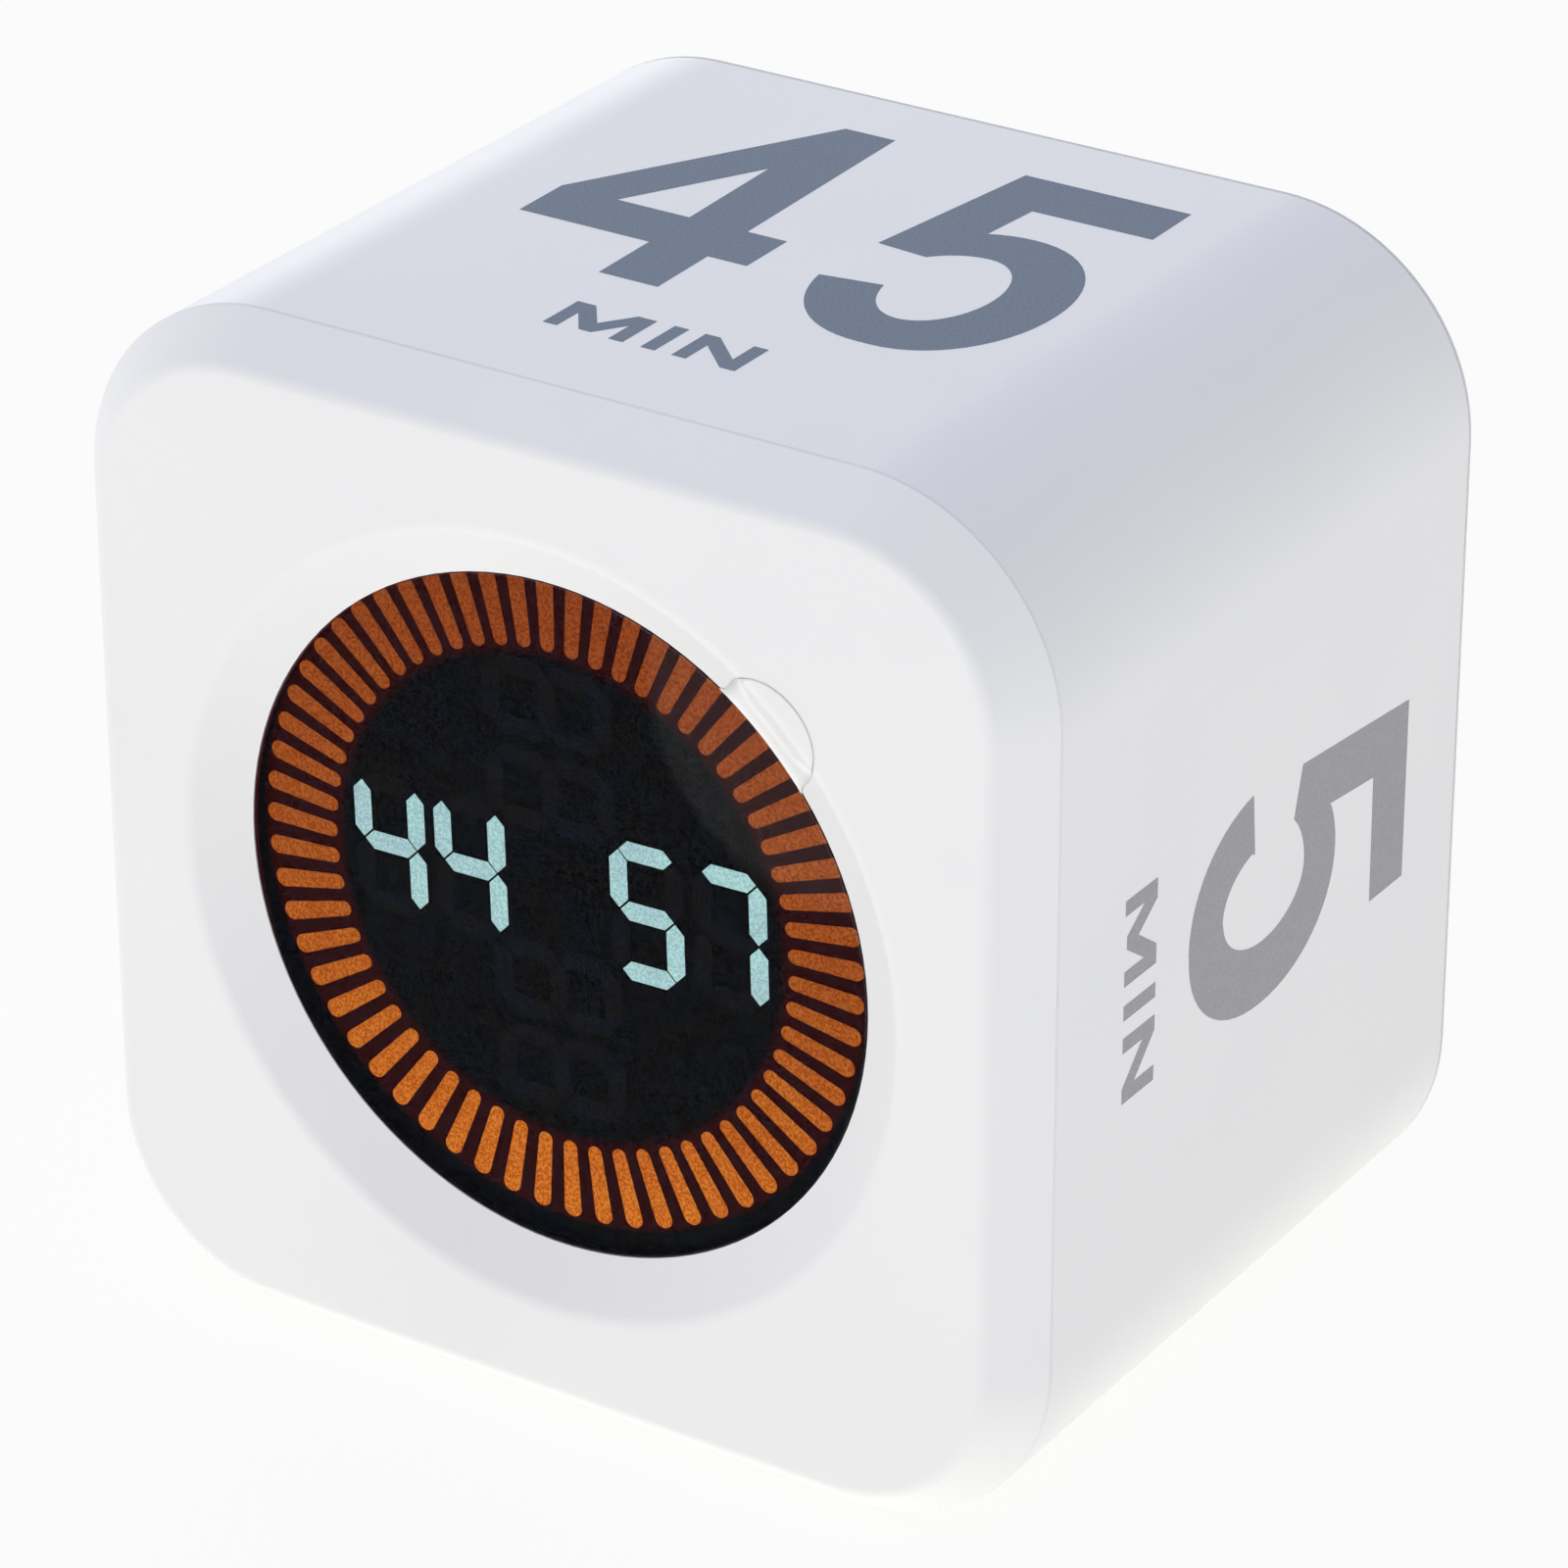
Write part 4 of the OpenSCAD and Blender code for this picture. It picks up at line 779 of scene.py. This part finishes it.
def stroke_places(lit):
    """Mesh with a point for each stroke that is lit, or for each that isn't.

    The unlit ones include four digits for the timer lying on its side, turned a quarter.
    """
    points, upright = [], []
    for column, number in enumerate(READOUT):
        middle = (-PAIR_OFFSET if column < 2 else PAIR_OFFSET) + (column % 2 - 0.5) * DIGIT_PITCH
        for letter in "abcdefg":
            x, z, stands = stroke_place(letter)
            if (letter in LIT_STROKES[number]) == lit:
                points.append(cell_place(middle + x, DIGIT_RISE + z))
                upright.append(float(stands))
            if not lit:
                points.append(cell_place(TURNED_MIDDLE[0] - z, TURNED_MIDDLE[1] + middle + x))
                upright.append(1.0 - stands)
    mesh = bpy.data.meshes.new("stroke_places")
    mesh.from_pydata(points, [], [])
    mesh.attributes.new("upright", "FLOAT", "POINT").data.foreach_set("value", upright)
    return mesh


def add_digits(finishes):
    """Lit and unlit strokes of the digits in the display cell."""
    tree = stroke_tree()
    for name, lit, finish in (
        ("lit_strokes", True, "pale_segments"),
        # The unlit strokes glow faintly with painted light in place of the room light falling on them
        ("unlit_strokes", False, "unlit_segments"),
    ):
        sizes = {
            "Lying Length": (DIGIT_WIDTH - STROKE_GAP) * MM,
            "Upright Length": (DIGIT_HEIGHT / 2 - STROKE_GAP) * MM,
            "Width": STROKE_WIDTH * MM,
            "Thickness": PLATE_THICKNESS * MM,
            "Turn": math.radians(ART_TURN),
            "Material": finishes[finish],
        }
        strokes = show(name, run_tree(name, tree, stroke_places(lit), sizes), finishes[finish])
        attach(strokes, "housing")
        if lit:
            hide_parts("lcd_digits")


def film_outline():
    """Outline of the flat film: a disc and a round-ended tab along +U, joined by small fillets."""
    half = TAB_WIDTH / 2
    fillet_v = half + TAB_FILLET
    fillet_u = math.sqrt((FILM_RADIUS + TAB_FILLET) ** 2 - fillet_v**2)
    lean = math.degrees(math.atan2(fillet_v, fillet_u))
    fillet = (TAB_FILLET, TAB_FILLET)
    points = bend((0, 0), (FILM_RADIUS, FILM_RADIUS), lean, 360 - lean, DISC_STEPS)
    points += bend((fillet_u, -fillet_v), fillet, 180 - lean, 90, FILLET_STEPS)[1:]
    points += bend((TAB_END - TAB_TIP, 0), (TAB_TIP, half), -90, 90, TIP_STEPS)
    points += bend((fillet_u, fillet_v), fillet, -90, lean - 180, FILLET_STEPS)[:-1]
    return points


def ease(value, start, end):
    """Share from 0 to 1 that rises softly between two values."""
    share = min(max((value - start) / (end - start), 0.0), 1.0)
    return share * share * (3 - 2 * share)


def bent_rise(radius, start, softness):
    """Rise of a line that bends upwards softly at a radius."""
    return softness * math.log1p(math.exp((radius - start) / softness))


def film_depth(u, v):
    """Depth of the film's back: flat on the window, then up the dish and over its edge at the tab."""
    radius = math.hypot(u, v)
    slope = DISH_DEPTH / (DISH_RADIUS - DISPLAY_RADIUS)
    foot = bent_rise(radius, DISPLAY_RADIUS, FILM_FOOT_SOFTNESS)
    brow = bent_rise(radius, FILM_BROW_RADIUS, FILM_BROW_SOFTNESS)
    lifted = ease(u, FILM_LIFT_START, FILM_LIFT_START + FILM_LIFT_LENGTH)
    air = FILM_AIR_GAP * lifted * (1 - ease(radius, DISPLAY_RADIUS, DISH_RADIUS))
    rise = air + slope * (foot - brow) * lifted
    return DISH_DEPTH - min(rise, DISH_DEPTH)


def add_window(finishes):
    """Copy of the clear window with a black edge."""
    shape = joined_shape("display_window")
    for face in shape.faces:
        looks_along_y = abs(face.normal.y) > 0.5
        face.material_index = 0 if looks_along_y else 1
    mesh = shape_mesh("window_pane", shape)
    mesh.shade_flat()
    pane = show("window_pane", mesh, finishes["clear_window"], finishes["display_black"])
    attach(pane, "housing")
    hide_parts("display_window")


def film_corners(outline):
    """Corners of the outline, and a grid of places inside it."""
    points = [Vector(p) for p in outline]
    reach = int(TAB_END / FILM_GRID) + 1
    for row in range(-reach, reach + 1):
        for column in range(-reach, reach + 1):
            u, v = column * FILM_GRID, row * FILM_GRID
            on_disc = math.hypot(u, v) < FILM_RADIUS - FILM_GRID / 2
            on_tab = 0 < u < TAB_END - TAB_TIP and abs(v) < TAB_WIDTH / 2 - FILM_GRID / 2
            if on_disc or on_tab:
                points.append(Vector((u, v)))
    return points


def add_film(finishes):
    """Film cut flat with its pull tab, and bent over the window and the dish."""
    outline = film_outline()
    border = list(range(len(outline)))
    inside_border = 1
    cut = delaunay_2d_cdt(film_corners(outline), [], [border], inside_border, FILM_WELD)
    corners, faces = cut[0], cut[2]
    turn = math.radians(TAB_ANGLE)
    places = []
    for u, v in corners:
        x = u * math.cos(turn) - v * math.sin(turn)
        y = FRONT_Y + film_depth(u, v) - FILM_THICKNESS
        z = MIDDLE_Z + u * math.sin(turn) + v * math.cos(turn)
        places.append((x * MM, y * MM, z * MM))
    mesh = bpy.data.meshes.new("film_draft")
    mesh.from_pydata(places, [], faces)
    mesh.shade_smooth()
    materials = (finishes["clear_film"], finishes["film_edge"])
    draft = show("film_draft", mesh, *materials)
    wall = draft.modifiers.new("thickness", "SOLIDIFY")
    wall.thickness = FILM_THICKNESS * MM
    wall.offset = -1
    wall.material_offset_rim = 1
    film = show("film_sheet", settled_mesh("film_sheet", draft), *materials)
    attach(film, "housing")
    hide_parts("protective_film")


# Printed times


def numeral_four():
    """Outlines of a 4 that is 24.1 high, with its counter. The baseline is at 0."""
    outline = [(0.0, 8.85), (8.4, 24.1), (11.6, 24.1), (12.0, 8.8), (14.5, 8.8), (14.55, 4.85)]
    outline += [(12.1, 4.85), (12.2, 0.0), (8.5, 0.0), (8.4, 4.85), (0.05, 4.85)]
    counter = [(3.65, 8.8), (8.05, 16.9), (8.3, 8.8)]
    return [outline, counter]


def numeral_five():
    """Outline of a 5 that is 24 high. The baseline is at 0."""
    outline = [(2.1, 24.0), (12.4, 24.0), (12.45, 19.85), (5.05, 19.8), (4.7, 15.75)]
    outline += bend((7.3, 8.2), (7.0, 8.2), 112, 90, 4)
    outline += bend((7.3, 8.2), (6.2, 8.2), 90, -90, 28, 1.03)[1:]
    outline += bend((6.65, 8.2), (6.6, 8.2), 270, 192, 14, 1.05)
    outline += bend((6.7, 8.25), (3.0, 4.65), 196, 270)
    outline += bend((6.7, 8.25), (3.0, 4.65), -90, 90, 28)[1:]
    outline += bend((6.7, 8.25), (4.1, 4.65), 90, 138)
    outline += [(0.5, 11.65)]
    return [outline]


def numeral_five_low():
    """Outline of the slightly lower 5 of the other sides. The baseline is at 0."""
    outline = [(1.65, 23.4), (12.33, 23.4), (12.33, 19.73), (4.75, 19.63), (4.25, 14.8)]
    outline += bend((6.9, 7.8), (6.5, 7.77), 113, 90, 4)
    outline += bend((6.9, 7.8), (6.17, 7.77), 90, -90, 28, 1.04)[1:]
    outline += bend((6.75, 8.1), (6.7, 8.1), 270, 191, 14, 1.05)
    outline += [(3.75, 6.75)]
    outline += bend((6.4, 7.85), (2.95, 4.35), 200, 270)
    outline += bend((6.4, 7.85), (2.95, 4.3), -90, 90, 28)[1:]
    outline += bend((6.4, 7.85), (4.1, 4.3), 90, 135)
    outline += [(0.58, 11.68)]
    return [outline]


def numeral_one():
    """Outline of a 1 that is 24 high. The baseline is at 0."""
    return [[(2.9, 0.0), (2.9, 18.6), (0.0, 16.6), (0.0, 20.9), (4.3, 24.0), (6.9, 24.0), (6.9, 0.0)]]


def numeral_two():
    """Outline of a 2 that is 24 high. The baseline is at 0."""
    outline = [(0.0, 0.0), (0.0, 3.6), (7.9, 13.2)]
    outline += bend((6.35, 16.9), (2.85, 3.75), -48, 180)
    outline += bend((6.35, 16.9), (6.35, 7.1), 180, -40)
    outline += [(5.0, 3.9), (12.8, 3.9), (12.8, 0.0)]
    return [outline]


def letters_min():
    """Outlines of the unit under the number, 11.8 wide and 3.2 high."""
    m = [(0, 0), (0, 3.2), (1.15, 3.2), (2.48, 1.35), (3.8, 3.2), (4.95, 3.2), (4.95, 0), (4.07, 0)]
    m += [(4.07, 1.95), (2.85, 0.2), (2.1, 0.2), (0.88, 1.95), (0.88, 0)]
    i = [(6.05, 0), (6.05, 3.2), (6.93, 3.2), (6.93, 0)]
    n = [(7.95, 0), (7.95, 3.2), (8.85, 3.2), (10.92, 1.2), (10.92, 3.2), (11.8, 3.2), (11.8, 0)]
    n += [(10.9, 0), (8.83, 2.0), (8.83, 0)]
    return [m, i, n]


def add_print(name, signs, normal, finish):
    """Ink on one side of the sleeve. The foot of the print is towards the display."""
    out = Vector(normal)
    up = Vector((0, 1, 0))
    across = up.cross(out)
    middle = Vector((0, 0, MIDDLE_Z)) + out * (BODY_HIGH.x if out.x else BODY_HIGH.z - MIDDLE_Z)
    drawing = bpy.data.curves.new(name + "_drawing", "CURVE")
    drawing.dimensions = "2D"
    drawing.fill_mode = "BOTH"
    drawing.extrude = (INK_RISE + INK_BITE) / 2 * MM
    for outlines, right, rise in signs:
        for outline in outlines:
            line = drawing.splines.new("POLY")
            line.points.add(len(outline) - 1)
            for point, (x, y) in zip(line.points, outline):
                point.co = ((right + x) * MM, (rise + y) * MM, 0, 1)
            line.use_cyclic_u = True
    draft = bpy.data.objects.new(name + "_draft", drawing)
    bpy.context.scene.collection.objects.link(draft)
    mesh = settled_mesh(name, draft)
    place = Matrix((across, up, out)).transposed().to_4x4()
    place.translation = (middle + out * (INK_RISE - INK_BITE) / 2) * MM
    mesh.transform(place)
    shape = bmesh.new()
    shape.from_mesh(mesh)
    bmesh.ops.remove_doubles(shape, verts=shape.verts, dist=INK_WELD * MM)
    bmesh.ops.recalc_face_normals(shape, faces=shape.faces)
    shape.to_mesh(mesh)
    shape.free()
    mesh.shade_flat()
    piece = show(name, mesh, finish)
    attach(piece, "housing")


def add_prints(finishes):
    """Number and unit on each of the four sides.

    Each sign has its outlines and the place of its lower left corner, from the middle of its side.
    """
    slate, grey = finishes["slate_ink"], finishes["grey_ink"]
    four, five, low_five = numeral_four(), numeral_five(), numeral_five_low()
    one, two, unit = numeral_one(), numeral_two(), letters_min()
    top = [(four, -15.0, -7.8), (five, 3.15, -8.2), (unit, -5.2, -14.8)]
    right = [(low_five, -6.9, -8.0), (unit, -6.3, -14.6)]
    left = [(two, -14.6, -8.0), (low_five, 1.4, -8.0), (unit, -5.9, -14.7)]
    under = [(one, -10.4, -8.0), (low_five, -1.0, -8.0), (unit, -5.9, -14.7)]
    add_print("print_top", top, (0, 0, 1), slate)
    add_print("print_right", right, (1, 0, 0), grey)
    add_print("print_left", left, (-1, 0, 0), grey)
    add_print("print_bottom", under, (0, 0, -1), grey)


# Stage


def add_camera():
    """Camera that sees the timer as the photo does."""
    angles = (CAMERA_AZIMUTH, CAMERA_ELEVATION, CAMERA_ROLL)
    azimuth, elevation, roll = (math.radians(angle) for angle in angles)
    reach = math.cos(elevation)
    back = Vector((math.sin(azimuth) * reach, -math.cos(azimuth) * reach, math.sin(elevation)))
    level = (-back).cross(Vector((0, 0, 1))).normalized()
    rise = level.cross(-back)
    across = level * math.cos(roll) + rise * math.sin(roll)
    up = rise * math.cos(roll) - level * math.sin(roll)
    place = Matrix((across, up, back)).transposed().to_4x4()
    place.translation = (Vector(CAMERA_FOCUS) + back * CAMERA_DISTANCE) * MM
    lens = bpy.data.cameras.new("camera")
    lens.lens = CAMERA_LENS
    lens.sensor_width = CAMERA_SENSOR
    lens.shift_x, lens.shift_y = CAMERA_SHIFT
    lens.clip_start = CAMERA_CLIP * MM
    camera = bpy.data.objects.new("camera", lens)
    camera.matrix_world = place
    bpy.context.scene.collection.objects.link(camera)
    bpy.context.scene.camera = camera


def seen_directly(tree):
    """1 for rays that see the stage or its mirror image, and 0 for the light that falls on the object."""
    rays = add(tree, "ShaderNodeLightPath").outputs
    mirrored = math_node(tree, "MAXIMUM", rays["Is Glossy Ray"], rays["Is Transmission Ray"])
    return math_node(tree, "MAXIMUM", rays["Is Camera Ray"], mirrored)


def add_floor():
    """Pale glowing sheet that keeps the shadow under the timer."""
    material, tree, place = start_finish("pale_floor")
    paper = noise(tree, place, PAPER_PATCH)
    depth = add(tree, "ShaderNodeSeparateXYZ", {"Vector": place}).outputs["Y"]
    away = step_up(tree, depth, -FLOOR_FADE, FLOOR_FADE, 0.0, 1.0)
    direct = seen_directly(tree)
    inputs = {
        "Base Color": two_tone(tree, paper, *FLOOR_TONES),
        "Roughness": spread(tree, paper, 0.85, 0.95),
        "Specular IOR Level": 0.0,
        "Emission Color": two_tone(tree, away, FLOOR_GLOW_FRONT, FLOOR_GLOW_BACK, 0.0, 1.0),
        "Emission Strength": math_node(tree, "SUBTRACT", 1.0, direct),
    }
    sheet = add(tree, "ShaderNodeBsdfPrincipled", inputs)
    white = add(tree, "ShaderNodeEmission", {"Color": (1, 1, 1, 1), "Strength": 1.0})
    share = math_node(tree, "MULTIPLY", direct, FLOOR_WHITE_SHARE)
    end_finish(tree, mix_shaders(tree, share, sheet, white))
    half = FLOOR_HALF_SIDE * MM
    corners = [(-half, -half, 0), (half, -half, 0), (half, half, 0), (-half, half, 0)]
    mesh = bpy.data.meshes.new("floor")
    mesh.from_pydata(corners, [], [(0, 1, 2, 3)])
    show("floor", mesh, material)


def add_sky():
    """Light tent whose sides differ, and which is white where it is seen directly.

    Each side's share of the light is the square of how far a direction points to it.
    """
    world = bpy.data.worlds.new("studio")
    bpy.context.scene.world = world
    world.use_nodes = True
    tree = world.node_tree
    tree.nodes.clear()
    direction = add(tree, "ShaderNodeTexCoord").outputs["Generated"]
    way = add(tree, "ShaderNodeSeparateXYZ", {"Vector": direction}).outputs
    colour = (0, 0, 0)
    for axis, sign, side in (
        ("X", -1.0, TENT_LEFT),
        ("X", 1.0, TENT_RIGHT),
        ("Y", -1.0, TENT_FRONT),
        ("Y", 1.0, TENT_BACK),
        ("Z", 1.0, TENT_ROOF),
    ):
        towards = math_node(tree, "MAXIMUM", math_node(tree, "MULTIPLY", way[axis], sign), 0.0)
        share = math_node(tree, "POWER", towards, 2.0)
        sum_of_sides = {0: share, 1: side, 2: colour}
        colour = add(tree, "ShaderNodeVectorMath", sum_of_sides, operation="MULTIPLY_ADD").outputs[0]
    light = add(tree, "ShaderNodeBackground", {"Color": colour, "Strength": 1.0})
    white = add(tree, "ShaderNodeBackground", {"Color": (*BACKDROP_WHITE, 1), "Strength": 1.0})
    mix = mix_shaders(tree, seen_directly(tree), light, white)
    add(tree, "ShaderNodeOutputWorld", {"Surface": mix.outputs[0]})


def add_strip():
    """Strip lamp behind the timer on its left."""
    lamp = bpy.data.lights.new("back_left_strip", "AREA")
    lamp.shape = "RECTANGLE"
    lamp.size, lamp.size_y = (side * MM for side in STRIP_SIZE)
    lamp.energy = STRIP_POWER
    holder = bpy.data.objects.new("back_left_strip", lamp)
    holder.location = Vector(STRIP_PLACE) * MM
    aim = Vector((0, 0, MIDDLE_Z)) - Vector(STRIP_PLACE)
    holder.rotation_euler = aim.to_track_quat("-Z", "Y").to_euler()
    bpy.context.scene.collection.objects.link(holder)


bpy.context.scene.view_settings.view_transform = "Standard"
add_camera()
finishes = build_finishes()
dress_solids(finishes)
add_mouldings(finishes)
add_bar_ring(finishes)
add_digits(finishes)
add_window(finishes)
add_film(finishes)
add_prints(finishes)
add_floor()
add_sky()
add_strip()
